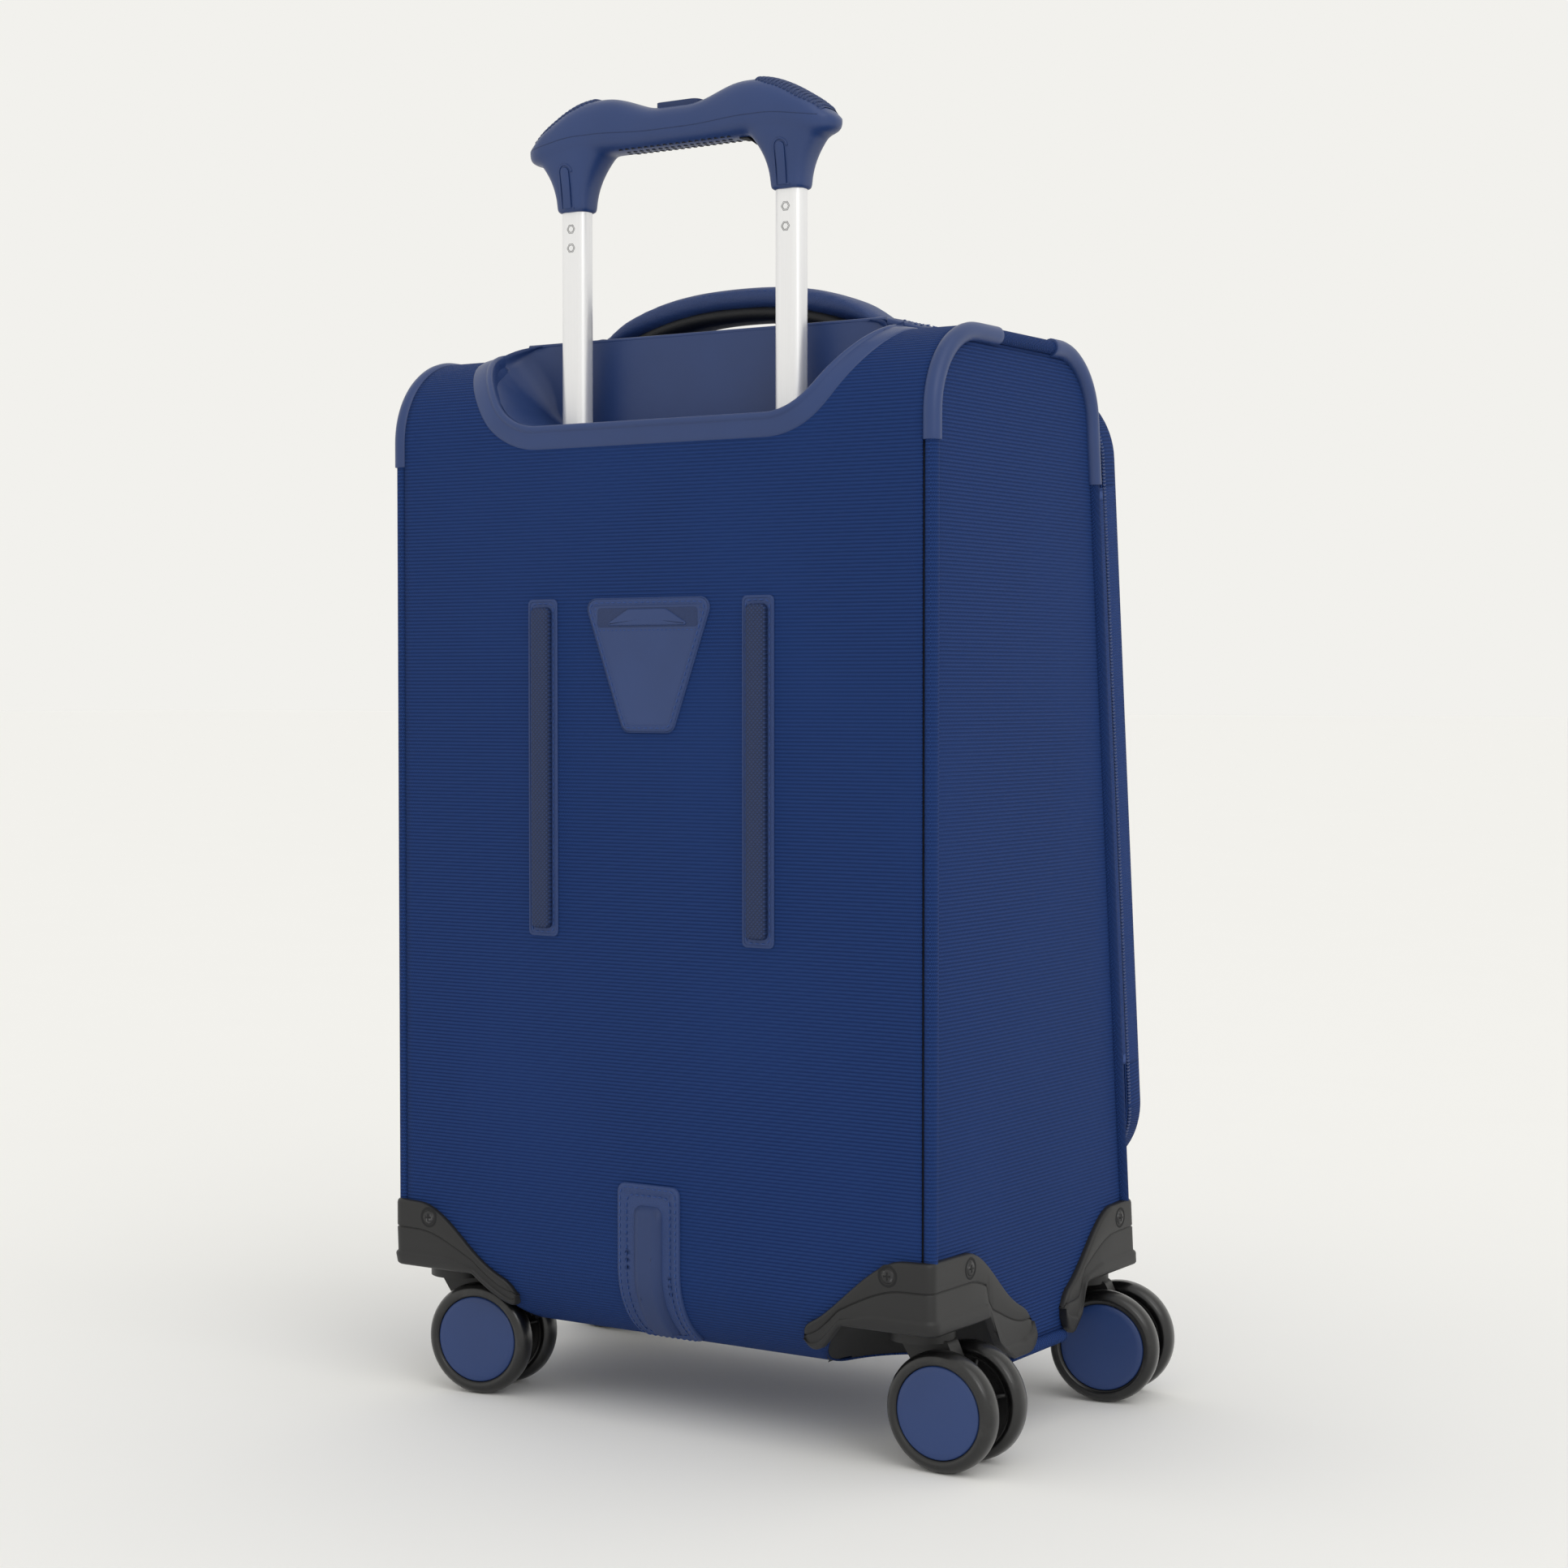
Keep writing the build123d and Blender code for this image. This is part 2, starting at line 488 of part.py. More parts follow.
# grip: a front view outline, rounded by a side view outline
GRIP_UNDER = GRIP_HIGH - 30.0
GRIP_DIP = GRIP_HIGH - 8.0
leg = TUBE_SPACING / 2
skirt = TUBE_WIDTH / 2 + 1.5
end = GRIP_HALF_LENGTH
end_z = GRIP_HIGH - 33.0
crest = Spline((end, end_z), (end - 7, end_z + 15), (end - 21, GRIP_HIGH - 7.5), (end - 40, GRIP_HIGH - 0.8),
               (leg - 24, GRIP_HIGH), (leg - 46, GRIP_DIP + 2.5), (0, GRIP_DIP), (46 - leg, GRIP_DIP + 2.5),
               (24 - leg, GRIP_HIGH), (40 - end, GRIP_HIGH - 0.8), (21 - end, GRIP_HIGH - 7.5),
               (7 - end, end_z + 15), (-end, end_z))
edges = [crest]
for side in (1, -1):
    outer, inner, palm = side * (leg + skirt), side * (leg - skirt), side * (leg - 27)
    edges.append(ThreePointArc((outer, GRIP_LOW), (side * (leg + 16), GRIP_LOW + 14), (side * end, end_z)))
    edges.append(Line((outer, GRIP_LOW), (inner, GRIP_LOW)))
    edges.append(ThreePointArc((inner, GRIP_LOW), (side * (leg - 15), GRIP_UNDER - 8), (palm, GRIP_UNDER)))
edges.append(Line((leg - 27, GRIP_UNDER), (27 - leg, GRIP_UNDER)))
front_view = make_face(Curve() + edges)
half_grip = GRIP_DEPTH / 2
half_skirt = TUBE_THICK / 2 + 1.5
side_points = [(-half_skirt, GRIP_LOW - 5), (-half_skirt, GRIP_LOW + 3), (-half_grip, GRIP_UNDER - 4),
               (-half_grip, GRIP_HIGH - 14), (-half_grip / 2, GRIP_HIGH + 2), (half_grip / 2, GRIP_HIGH + 2),
               (half_grip, GRIP_HIGH - 14), (half_grip, GRIP_UNDER - 4), (half_skirt, GRIP_LOW + 3),
               (half_skirt, GRIP_LOW - 5)]
side_radii = [0.5, 10, 10, 8, 6, 6, 8, 10, 10, 0.5]
side_wire = FilletPolyline(*[(at(TUBE_DEPTH) + y, z) for y, z in side_points], radius=side_radii, close=True)
grip = along_depth(front_view, TUBE_DEPTH - half_grip - 5, TUBE_DEPTH + half_grip + 5)
grip = grip & across(make_face(side_wire), -end - 5, end + 5)
pad_top = grip - grip.moved(Location((0, 0, -1.8)))
PAD_INNER, PAD_OUTER, PAD_HALF = end - 44.0, end - 8.0, half_grip - 6.0
pads = []
for side in (1, -1):
    x0, x1 = sorted((side * PAD_INNER, side * PAD_OUTER))
    zone = box(x0, x1, TUBE_DEPTH - PAD_HALF, TUBE_DEPTH + PAD_HALF, GRIP_HIGH - 20, GRIP_HIGH + 5)
    pads.append(pad_top & zone)
    grip = grip - pads[-1]
parts["grip_pads"] = pads

BAR_HIGH = GRIP_DIP - 10.0                              # underside of the button cap
BAR_THICK = 4.0
BAR_HALF = 3.0
BUTTON_PROUD = 2.2
slot_gap = 0.35
grip = grip - box(-leg - 4, leg + 4, TUBE_DEPTH - BAR_HALF - slot_gap, TUBE_DEPTH + BAR_HALF + slot_gap,
                  BAR_HIGH - BAR_THICK - BUTTON_TRAVEL - slot_gap, BAR_HIGH + slot_gap)
half_button = BUTTON_LENGTH / 2
half_cap = BUTTON_DEPTH / 2
grip = grip - box(-half_button - slot_gap, half_button + slot_gap, TUBE_DEPTH - half_cap - slot_gap,
                  TUBE_DEPTH + half_cap + slot_gap, BAR_HIGH - BUTTON_TRAVEL - slot_gap, GRIP_HIGH + 9)
button = box(-half_button, half_button, TUBE_DEPTH - half_cap, TUBE_DEPTH + half_cap,
             BAR_HIGH, GRIP_DIP + BUTTON_PROUD)
button = fillet(button.edges().filter_by(Axis.Z), 4.0)
push_bar = box(-leg - 2, leg + 2, TUBE_DEPTH - BAR_HALF, TUBE_DEPTH + BAR_HALF, BAR_HIGH - BAR_THICK, BAR_HIGH)
push_rods = []
for side in (1, -1):
    x = side * leg
    grip = grip - tube_block(0, GRIP_LOW - 5, TUBE_TOP, side)
    grip = grip - cylinder_z(ROD_RADIUS + 0.7, x, at(TUBE_DEPTH), TUBE_TOP - 1, BAR_HIGH - BAR_THICK)
    rod_low = PIN_HIGH + PIN_RADIUS + BUTTON_TRAVEL + 1.3
    push_rods.append(cylinder_z(ROD_RADIUS, x, at(TUBE_DEPTH), rod_low, BAR_HIGH - BAR_THICK))
parts["grip"] = grip
parts["release_button"] = [button, push_bar + push_rods[0] + push_rods[1]]

# ---------------------------------------------------------------- wear strips, patch, tag, kick plate
strips = []
for side in (1, -1):
    x = side * STRIP_SPACING / 2
    half_base, half_rail = STRIP_WIDTH / 2, RAIL_WIDTH / 2
    base = box(x - half_base, x + half_base, -STRIP_BASE, 0, STRIP_LOW, STRIP_HIGH)
    rail = box(x - half_rail, x + half_rail, -REAR_STAND, -STRIP_BASE, STRIP_LOW + 4, STRIP_HIGH - 4)
    strips += [fillet(base.edges().filter_by(Axis.Y), 3.0), fillet(rail.edges().filter_by(Axis.Y), 2.5)]
parts["wear_strips"] = strips

patch_wire = FilletPolyline((-PATCH_HALF_HIGH, PATCH_HIGH), (PATCH_HALF_HIGH, PATCH_HIGH),
                            (PATCH_HALF_LOW, PATCH_LOW), (-PATCH_HALF_LOW, PATCH_LOW),
                            radius=[6.0, 6.0, 5.0, 5.0], close=True)
patch = along_depth(make_face(patch_wire), -PATCH_THICK, 0)
TAG_SLOT = 0.3
TAG_BEHIND = 0.6                                        # patch material behind the tag
patch = patch - box(-TAG_HALF_WIDTH - TAG_SLOT, TAG_HALF_WIDTH + TAG_SLOT,
                    -TAG_BEHIND - TAG_THICK - 2 * TAG_SLOT, -TAG_BEHIND, TAG_LOW - TAG_SLOT, PATCH_HIGH + 5)
WINDOW_LOW, WINDOW_HIGH, WINDOW_HALF = PATCH_HIGH - 16.0, PATCH_HIGH - 5.5, 33.0
patch = patch - box(-WINDOW_HALF, WINDOW_HALF, -PATCH_THICK - 1, -TAG_BEHIND, WINDOW_LOW, WINDOW_HIGH)
parts["id_patch"] = patch
parts["id_tag"] = box(-TAG_HALF_WIDTH, TAG_HALF_WIDTH, -TAG_BEHIND - TAG_SLOT - TAG_THICK,
                      -TAG_BEHIND - TAG_SLOT, TAG_LOW, TAG_HIGH)

kick = case_block(-KICK_THICK, KICK_HALF_WIDTH) - case_block(0, KICK_HALF_WIDTH + 1)
kick = kick & box(-100, 100, -50, KICK_UNDER, 0, KICK_HIGH)
RIDGE_HALF = 9.0
ridge = case_block(-KICK_THICK - KICK_RIDGE, RIDGE_HALF) - case_block(-KICK_THICK, RIDGE_HALF + 1)
ridge = ridge & box(-100, 100, -50, KICK_UNDER - 6.0, 0, KICK_HIGH - 12.0)
parts["kick_plate"] = kick + ridge

# ---------------------------------------------------------------- carry handles
def arch(span, rise, thick, foot_rise):
    """A padded handle's outline, arching over its middle."""
    over = ThreePointArc((-span, foot_rise + thick - 1.0), (0, rise), (span, foot_rise + thick - 1.0))
    under = ThreePointArc((-span, foot_rise), (0, rise - thick), (span, foot_rise))
    ends = [Line((side * span, foot_rise), (side * span, foot_rise + thick - 1.0)) for side in (1, -1)]
    return make_face(Curve() + [over, under] + ends)


half_handle = HANDLE_WIDTH / 2
top_arch = arch(HANDLE_HALF_SPAN, HANDLE_RISE, HANDLE_THICK, ANCHOR_HEIGHT - HANDLE_THICK)
parts["top_handle"] = along_depth(Pos(0, CASE_TOP) * top_arch, HANDLE_DEPTH - half_handle,
                                  HANDLE_DEPTH + half_handle)
anchors = []
for side in (1, -1):
    x0, x1 = sorted((side * HANDLE_HALF_SPAN, side * (HANDLE_HALF_SPAN + ANCHOR_LENGTH)))
    block = box(x0, x1, HANDLE_DEPTH - half_handle - 4, HANDLE_DEPTH + half_handle + 4,
                CASE_TOP, CASE_TOP + ANCHOR_HEIGHT)
    outer_top = block.edges().filter_by(Axis.Y).sort_by(Axis.Z)[-2:].sort_by(Axis.X)
    anchors.append(chamfer(outer_top[-1] if side > 0 else outer_top[0], 12.0, 22.0))

side_arch = arch(SIDE_HANDLE_HALF_SPAN, SIDE_HANDLE_RISE, SIDE_ANCHOR_HEIGHT, 1.0)
side_plane = Plane(origin=(HALF, at(SIDE_HANDLE_DEPTH - half_handle), SIDE_HANDLE_MIDDLE),
                   x_dir=(0, 0, -1), z_dir=(0, -1, 0))
parts["side_handle"] = extrude(side_plane * side_arch, HANDLE_WIDTH)
for side in (1, -1):
    z0, z1 = sorted((SIDE_HANDLE_MIDDLE + side * SIDE_HANDLE_HALF_SPAN,
                     SIDE_HANDLE_MIDDLE + side * (SIDE_HANDLE_HALF_SPAN + 30.0)))
    anchors.append(box(HALF, HALF + SIDE_ANCHOR_HEIGHT, SIDE_HANDLE_DEPTH - half_handle - 3,
                       SIDE_HANDLE_DEPTH + half_handle + 3, z0, z1))
parts["handle_anchors"] = anchors

# ---------------------------------------------------------------- lining and packing straps
parts["back_lining"] = box(SKIN + BOARD - HALF, HALF - SKIN - BOARD, LINING_DEPTH, LINING_DEPTH + SKIN,
                           WELL_TOP + WELL_WALL + 2.0, TRAY_FLOOR - TRAY_WALL)
STRAP_MIDDLE, STRAP_HALF = (FOOT_LOW + TRAY_FLOOR) / 2 - 7.0, 12.5
BUCKLE_HALF = 22.0
strap_out = LINING_DEPTH + SKIN
straps = [box(side * BUCKLE_HALF, side * (HALF - INNER), strap_out, strap_out + 1.4,
              STRAP_MIDDLE - STRAP_HALF, STRAP_MIDDLE + STRAP_HALF) for side in (1, -1)]
buckle = box(-BUCKLE_HALF, BUCKLE_HALF, strap_out, strap_out + 8.0, STRAP_MIDDLE - 17, STRAP_MIDDLE + 17)
parts["packing_straps"] = straps + [fillet(buckle.edges().filter_by(Axis.Y), 5.0)]

# ---------------------------------------------------------------- expansion band and lid
FOLD_DEPTH, FOLD_THICK = 8.0, 3.0                       # the gusset, folded up inside the window
parts["expansion_gusset"] = (lid_slab(WINDOW_MARGIN, -FOLD_DEPTH, 0)
                             - lid_slab(WINDOW_MARGIN + FOLD_THICK, -FOLD_DEPTH - 1, 1))
parts["expansion_zip_case"] = lid_slab(0, 0, ZIP_DEPTH) - lid_slab(ZIP_WIDTH, -1.0, ZIP_DEPTH + 1)
zip_back = ZIP_DEPTH + RUNNING_GAP
parts["expansion_zip_band"] = lid_slab(0, zip_back, BAND_BACK) - lid_slab(ZIP_WIDTH, 0, BAND_BACK + 1)
parts["expander_band"] = lid_slab(0, BAND_BACK, BAND_FRONT) - lid_slab(LID_WALL, 0, BAND_FRONT + 1)
zip_front = BAND_FRONT + ZIP_DEPTH
parts["main_zip_band"] = lid_slab(0, BAND_FRONT, zip_front) - lid_slab(ZIP_WIDTH, 0, zip_front + 1)
zip_lid = zip_front + RUNNING_GAP
parts["main_zip_lid"] = lid_slab(0, zip_lid, LID_BACK) - lid_slab(ZIP_WIDTH, zip_lid - 1, LID_BACK + 1)
HINGE_CLEAR = 16.0                                      # hinge webbing to the lid's rounded corners
HINGE_HIGH = LID_HALF_HEIGHT - LID_CORNER - HINGE_CLEAR
HINGE_LOW, HINGE_THICK = 10.0 - HINGE_HIGH, 1.8
parts["hinge_webbing"] = lid_block(-LID_HALF_WIDTH - HINGE_THICK, -LID_HALF_WIDTH, HINGE_LOW, HINGE_HIGH,
                                   BAND_BACK, zip_front)

lid = lid_slab(0, LID_BACK, LID_FACE)
hollow = lid_slab(LID_WALL, LID_BACK - 1, LID_FACE - LID_WALL)
outwards = Axis((0, 0, 0), (0, OUT_Y, OUT_Z))
lid = fillet(lid.faces().sort_by(outwards)[-1].edges(), LID_ROUND)
hollow = fillet(hollow.faces().sort_by(outwards)[-1].edges(), LID_ROUND - LID_WALL)
parts["lid_panel"] = lid - hollow


def pocket(half_width, points):
    """A pocket's closed pad, from its side view in the lid's own directions."""
    plane = lid_plane(0)
    side_view = Plane(origin=plane.origin - Vector(half_width, 0, 0), x_dir=plane.y_dir, z_dir=(1, 0, 0))
    return extrude(side_view * make_face(Polyline(*points, close=True)), 2 * half_width)


# each outline's points are (up the lid, out of the front plane)
large_top, large_half = 96.0, LID_HALF_WIDTH - 21.0
large_low = 29.0 - LID_HALF_HEIGHT
large = [(large_low, LID_FACE), (large_low + 14, LID_FACE + 14.0),
         (-POCKET_BULGE_DROP, LID_FACE + POCKET_BULGE), (-100.0, LID_FACE + 16.0),
         (0.0, LID_FACE + 10.0), (large_top - 4, LID_FACE + 4.0), (large_top, LID_FACE)]
parts["front_pocket_large"] = pocket(large_half, large)
small_low, small_half = large_top + 16.0, LID_HALF_WIDTH - 29.0
small_top = LID_HALF_HEIGHT - 26.0
small = [(small_low, LID_FACE), (small_low + 5, LID_FACE + 5.0), (small_low + 40, LID_FACE + 7.5),
         (small_top - 6, LID_FACE + 4.0), (small_top, LID_FACE)]
parts["front_pocket_small"] = pocket(small_half, small)
zip_height = 2.4
parts["pocket_zips"] = [lid_block(-half + 12, half - 12, up, up + 8, LID_FACE, LID_FACE + zip_height)
                        for half, up in ((large_half, large_top + 1), (small_half, small_top + 1))]

# ---------------------------------------------------------------- zipper sliders
SLIDER_LENGTH, PULL_LENGTH, PULL_WIDTH = 12.0, 26.0, 7.0


def edge_slider(up, out0, out1):
    """A slider with its pull hanging down, on the lid's left-hand edge."""
    near = LID_HALF_WIDTH + RUNNING_GAP
    body = lid_block(near, near + 4.2, up, up + SLIDER_LENGTH, out0, out1)
    middle = (out0 + out1) / 2
    pull = lid_block(near + 1.4, near + 3.4, up - PULL_LENGTH, up, middle - 2.0, middle + 2.0)
    return [body, pull]


SLIDER_UP = -120.0
parts["main_slider"] = edge_slider(SLIDER_UP, HINGE_OUT - 4.2, HINGE_OUT + 4.2)
parts["expansion_slider"] = edge_slider(SLIDER_UP - 40.0, PIPING_PROUD + RUNNING_GAP,
                                        PIPING_PROUD + RUNNING_GAP + 5.0)
slider_x, slider_up = -110.0, large_top + 1
slider_out = LID_FACE + zip_height + RUNNING_GAP
parts["pocket_slider"] = [
    lid_block(slider_x, slider_x + SLIDER_LENGTH, slider_up + 0.5, slider_up + 7.5, slider_out, slider_out + 3.2),
    lid_block(slider_x - PULL_LENGTH, slider_x, slider_up + 1, slider_up + 7, slider_out + 0.8, slider_out + 2.4)]

# ---------------------------------------------------------------- casters
HUB_LOW = 2 * WHEEL_RADIUS + 1.2
KINGPIN_LOW = HUB_LOW - 8.2
parts["kingpins"] = [cylinder_z(KINGPIN_RADIUS, x, y, KINGPIN_LOW, WELL_TOP + WELL_WALL)
                     + cylinder_z(9.0, x, y, WELL_TOP + WELL_WALL, WELL_TOP + WELL_WALL + 4.0)
                     for x, y, heading in CORNERS.values()]


def fork_and_axle():
    """A caster's fork with its axle, heading along +X from the kingpin at the origin."""
    hub = cylinder_z(HUB_RADIUS, 0, 0, HUB_LOW, WELL_TOP - RUNNING_GAP)
    drop = WHEEL_RADIUS
    points = [(-12.0, HUB_LOW + 2), (HUB_RADIUS, HUB_LOW + 2), (TRAIL + 10, drop + 5), (TRAIL + 4, drop - 9),
              (TRAIL - 6, drop - 9), (2.0, drop + 13)]
    wire = FilletPolyline(*points, radius=[1.0, 5.0, 5.0, 4.0, 4.0, 6.0], close=True)
    start = Plane(origin=(0, WEB_THICK / 2, 0), x_dir=(1, 0, 0), z_dir=(0, -1, 0))
    web = extrude(start * make_face(wire), WEB_THICK)
    reach = WHEEL_GAP / 2 + WHEEL_WIDTH - 2.5
    axle = cylinder_y(AXLE_RADIUS, TRAIL, -reach, reach, drop)
    fork = hub + web - cylinder_y(AXLE_RADIUS, TRAIL, -reach, reach, drop)
    fork = fork - cylinder_z(KINGPIN_RADIUS + BEARING_GAP, 0, 0, KINGPIN_LOW - 1, WELL_TOP)
    return [fork, axle]


def wheel(side):
    """One wheel on the caster's left or right: tyre, core and outer disc."""
    inner, outer = side * WHEEL_GAP / 2, side * (WHEEL_GAP / 2 + WHEEL_WIDTH)
    y0, y1 = sorted((inner, outer))
    rim, face = WHEEL_RADIUS - 5.5, WHEEL_RADIUS - 6.0
    tyre = cylinder_y(WHEEL_RADIUS, TRAIL, y0, y1, WHEEL_RADIUS)
    tyre = fillet(tyre.edges().filter_by(GeomType.CIRCLE), 3.0)
    tyre = tyre - cylinder_y(rim, TRAIL, y0 - 1, y1 + 1, WHEEL_RADIUS)
    disc_in = outer - side * 2.0
    d0, d1 = sorted((disc_in, outer - side * 0.4))
    disc = cylinder_y(face, TRAIL, d0, d1, WHEEL_RADIUS)
    c0, c1 = sorted((inner + side * 1.0, disc_in))
    core = cylinder_y(rim, TRAIL, c0, c1, WHEEL_RADIUS)
    b0, b1 = sorted((inner, disc_in - side * 0.4))
    core = core - cylinder_y(AXLE_RADIUS + BEARING_GAP, TRAIL, b0, b1, WHEEL_RADIUS)
    return [tyre, core, disc]


for corner, (x, y, heading) in CORNERS.items():
    place = Location((x, y, 0), (0, 0, heading))
    parts["fork_" + corner] = [s.moved(place) for s in fork_and_axle()]
    for side, label in ((1, "a"), (-1, "b")):
        parts["wheel_" + corner + "_" + label] = [s.moved(place) for s in wheel(side)]

# ---------------------------------------------------------------- write the pieces
os.makedirs("parts", exist_ok=True)
for name, shape in parts.items():
    shapes = shape if isinstance(shape, list) else [shape]
    solids = [solid for each in shapes for solid in each.solids()]
    export_step(Compound(children=solids), "parts/" + name + ".step")
print(len(parts), "nodes; back panel at y", round(BACK_Y, 2), "tilt", round(degrees(TILT), 3))
print("hinge", (-LID_HALF_WIDTH - HINGE_THICK / 2, at(front_depth(LID_MIDDLE)) + HINGE_OUT * OUT_Y,
                LID_MIDDLE + HINGE_OUT * OUT_Z), "up", (0, UP_Y, UP_Z), "out", (0, OUT_Y, OUT_Z))
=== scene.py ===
"""Looks of a softside spinner suitcase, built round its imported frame. Metres, +Z up, back panel towards +Y."""
from math import asin, atan, ceil, copysign, cos, hypot, pi, radians, sin, sqrt, tan

import bmesh
import bpy
import numpy as np
from mathutils import Matrix, Vector
from mathutils.bvhtree import BVHTree


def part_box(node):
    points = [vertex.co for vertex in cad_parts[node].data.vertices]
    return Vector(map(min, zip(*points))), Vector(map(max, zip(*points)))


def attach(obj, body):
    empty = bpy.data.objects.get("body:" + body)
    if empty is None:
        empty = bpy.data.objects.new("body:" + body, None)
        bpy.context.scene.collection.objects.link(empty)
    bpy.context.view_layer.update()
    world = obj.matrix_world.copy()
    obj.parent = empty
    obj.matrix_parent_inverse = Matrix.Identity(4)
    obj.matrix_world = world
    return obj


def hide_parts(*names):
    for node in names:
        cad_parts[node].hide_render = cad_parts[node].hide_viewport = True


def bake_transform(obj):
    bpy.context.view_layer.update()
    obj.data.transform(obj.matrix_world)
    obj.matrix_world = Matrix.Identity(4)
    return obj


bl_info = {
    "name": "Softside Suitcase",
    "version": (1, 0, 0),
    "blender": (4, 5, 0),
    "location": "View3D > Sidebar > Suitcase",
    "description": "Builds the fabric, trims, handles and casters of a softside suitcase",
    "category": "Add Mesh",
}

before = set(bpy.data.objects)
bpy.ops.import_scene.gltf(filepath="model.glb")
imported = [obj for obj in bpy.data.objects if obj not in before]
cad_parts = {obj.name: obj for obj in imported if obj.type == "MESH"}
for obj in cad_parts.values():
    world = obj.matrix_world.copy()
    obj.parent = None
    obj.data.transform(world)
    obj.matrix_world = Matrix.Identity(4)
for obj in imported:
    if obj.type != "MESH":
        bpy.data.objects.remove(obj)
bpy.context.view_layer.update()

# sizes taken from the frame
COVER_LOW, COVER_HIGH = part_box("case_cover")
BACK = COVER_HIGH.y                       # the back panel's fabric
BOTTOM, TOP = COVER_LOW.z, COVER_HIGH.z
WRAP_HALF = COVER_HIGH.x                  # half width of the wrap, up to the piping
SIDE_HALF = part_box("side_covers")[1].x
DEPTH_TOP, DEPTH_BOTTOM = 0.1762, 0.2305  # back panel to the slanted front plane
SLOPE = (DEPTH_BOTTOM - DEPTH_TOP) / (TOP - BOTTOM)
TILT = atan(SLOPE)
CORNER_RADII = {"front_low": 0.024, "rear_low": 0.045, "rear_top": 0.048, "front_top": 0.042}
PIPE_RADIUS = 0.00375
SIDE_INSET = 0.0065                       # side panels lie this far inside the outline
TUBE_X = (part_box("inner_tubes")[1].x - 0.0085)
TUBE_Y = (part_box("inner_tubes")[0].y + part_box("inner_tubes")[1].y) / 2
GRIP_LOW, GRIP_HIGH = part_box("grip")
LID_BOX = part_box("lid_panel")
LID_HALF = LID_BOX[1].x
LID_LOW, LID_TOP = 0.113, 0.575
LID_MIDDLE = (LID_LOW + LID_TOP) / 2
LID_HALF_HEIGHT = (LID_TOP - LID_LOW) / 2 / cos(TILT)
LID_CORNER = 0.046
ZIP_HALF = 0.0016
RUNNING = 0.0004
BAND_BACK = 2 * ZIP_HALF + RUNNING
BAND_FRONT = BAND_BACK + 0.0135
HINGE_OUT = BAND_FRONT + ZIP_HALF + RUNNING / 2
LID_BACK = BAND_FRONT + 2 * ZIP_HALF + RUNNING
LID_FACE = LID_BACK + 0.0226
UP = Vector((0, sin(TILT), cos(TILT)))
OUT = Vector((0, -cos(TILT), sin(TILT)))
RIGHT = Vector((1, 0, 0))
CASTERS = {                               # resting heading of each caster, in degrees
    "rear_left": 190.0, "rear_right": 180.0, "front_left": -9.0, "front_right": 189.0,
}
WELL_TOP, WELL_RADIUS_TOP, WELL_RADIUS_LOW = 0.073, 0.042, 0.057
WHEEL_RADIUS, WHEEL_WIDTH, WHEEL_GAP, TRAIL = 0.0315, 0.014, 0.016, 0.021


def front_depth(z):
    """Depth of the case's front plane at height z."""
    return DEPTH_BOTTOM - SLOPE * (z - BOTTOM)


def lid_point(x, up, out):
    """A point given in the lid's own directions: across, up its face and out of the front plane."""
    return Vector((x, BACK - front_depth(LID_MIDDLE), LID_MIDDLE)) + UP * up + OUT * out


def smooth(value, low, high):
    """0 below low, 1 above high, eased between."""
    t = min(1.0, max(0.0, (value - low) / (high - low)))
    return t * t * (3 - 2 * t)


def past_corner(x, up):
    """How far a place on the lid lies past the straights of its edge, across and up."""
    side = max(abs(x) - (LID_HALF - LID_CORNER), 0.0) * (1 if x > 0 else -1)
    rise = max(abs(up) - (LID_HALF_HEIGHT - LID_CORNER), 0.0) * (1 if up > 0 else -1)
    return side, rise


# paths
def rounded_path(points, radii, step=0.004, closed=False):
    """Points along a path whose corners are rounded; straight stretches are divided too."""
    corners = [Vector(p) for p in points]
    rough = []
    for i, p in enumerate(corners):
        if not closed and i in (0, len(corners) - 1):
            rough.append(p)
            continue
        to_last = (corners[i - 1] - p).normalized()
        to_next = (corners[(i + 1) % len(corners)] - p).normalized()
        half = to_last.angle(to_next) / 2
        radius = radii[i]
        start = p + to_last * (radius / tan(half))
        centre = p + (to_last + to_next).normalized() * (radius / sin(half))
        stop = p + to_next * (radius / tan(half))
        turn = pi - 2 * half
        count = max(3, ceil(turn * radius / step))
        for k in range(count + 1):
            a, b = sin((1 - k / count) * turn), sin(k / count * turn)
            rough.append(centre + ((start - centre) * a + (stop - centre) * b) / sin(turn))
    if closed:
        rough.append(rough[0].copy())
    path = [rough[0]]
    for a, b in zip(rough, rough[1:]):
        pieces = max(1, ceil((b - a).length / (step * 1.5)))
        path += [a.lerp(b, k / pieces) for k in range(1, pieces + 1)]
    return path


def loop(corners, radius, step):
    """A closed, rounded path through four corners, without its repeated last point."""
    return rounded_path(corners, [radius] * 4, step, True)[:-1]


class Track:
    """A path that can be read by the distance along it."""

    def __init__(self, points):
        self.points = [Vector(p) for p in points]
        steps = [(b - a).length for a, b in zip(self.points, self.points[1:])]
        self.marks = np.concatenate([[0.0], np.cumsum(steps)])
        self.length = float(self.marks[-1])

    def at(self, s):
        s = min(max(s, 0.0), self.length)
        i = min(int(np.searchsorted(self.marks, s, side="right")) - 1, len(self.points) - 2)
        span = self.marks[i + 1] - self.marks[i]
        return self.points[i].lerp(self.points[i + 1], (s - self.marks[i]) / max(span, 1e-9))

    def along(self, s):
        return (self.at(s + 0.0008) - self.at(s - 0.0008)).normalized()

    def even(self, step):
        count = max(2, round(self.length / step))
        return [self.at(self.length * k / count) for k in range(count + 1)]


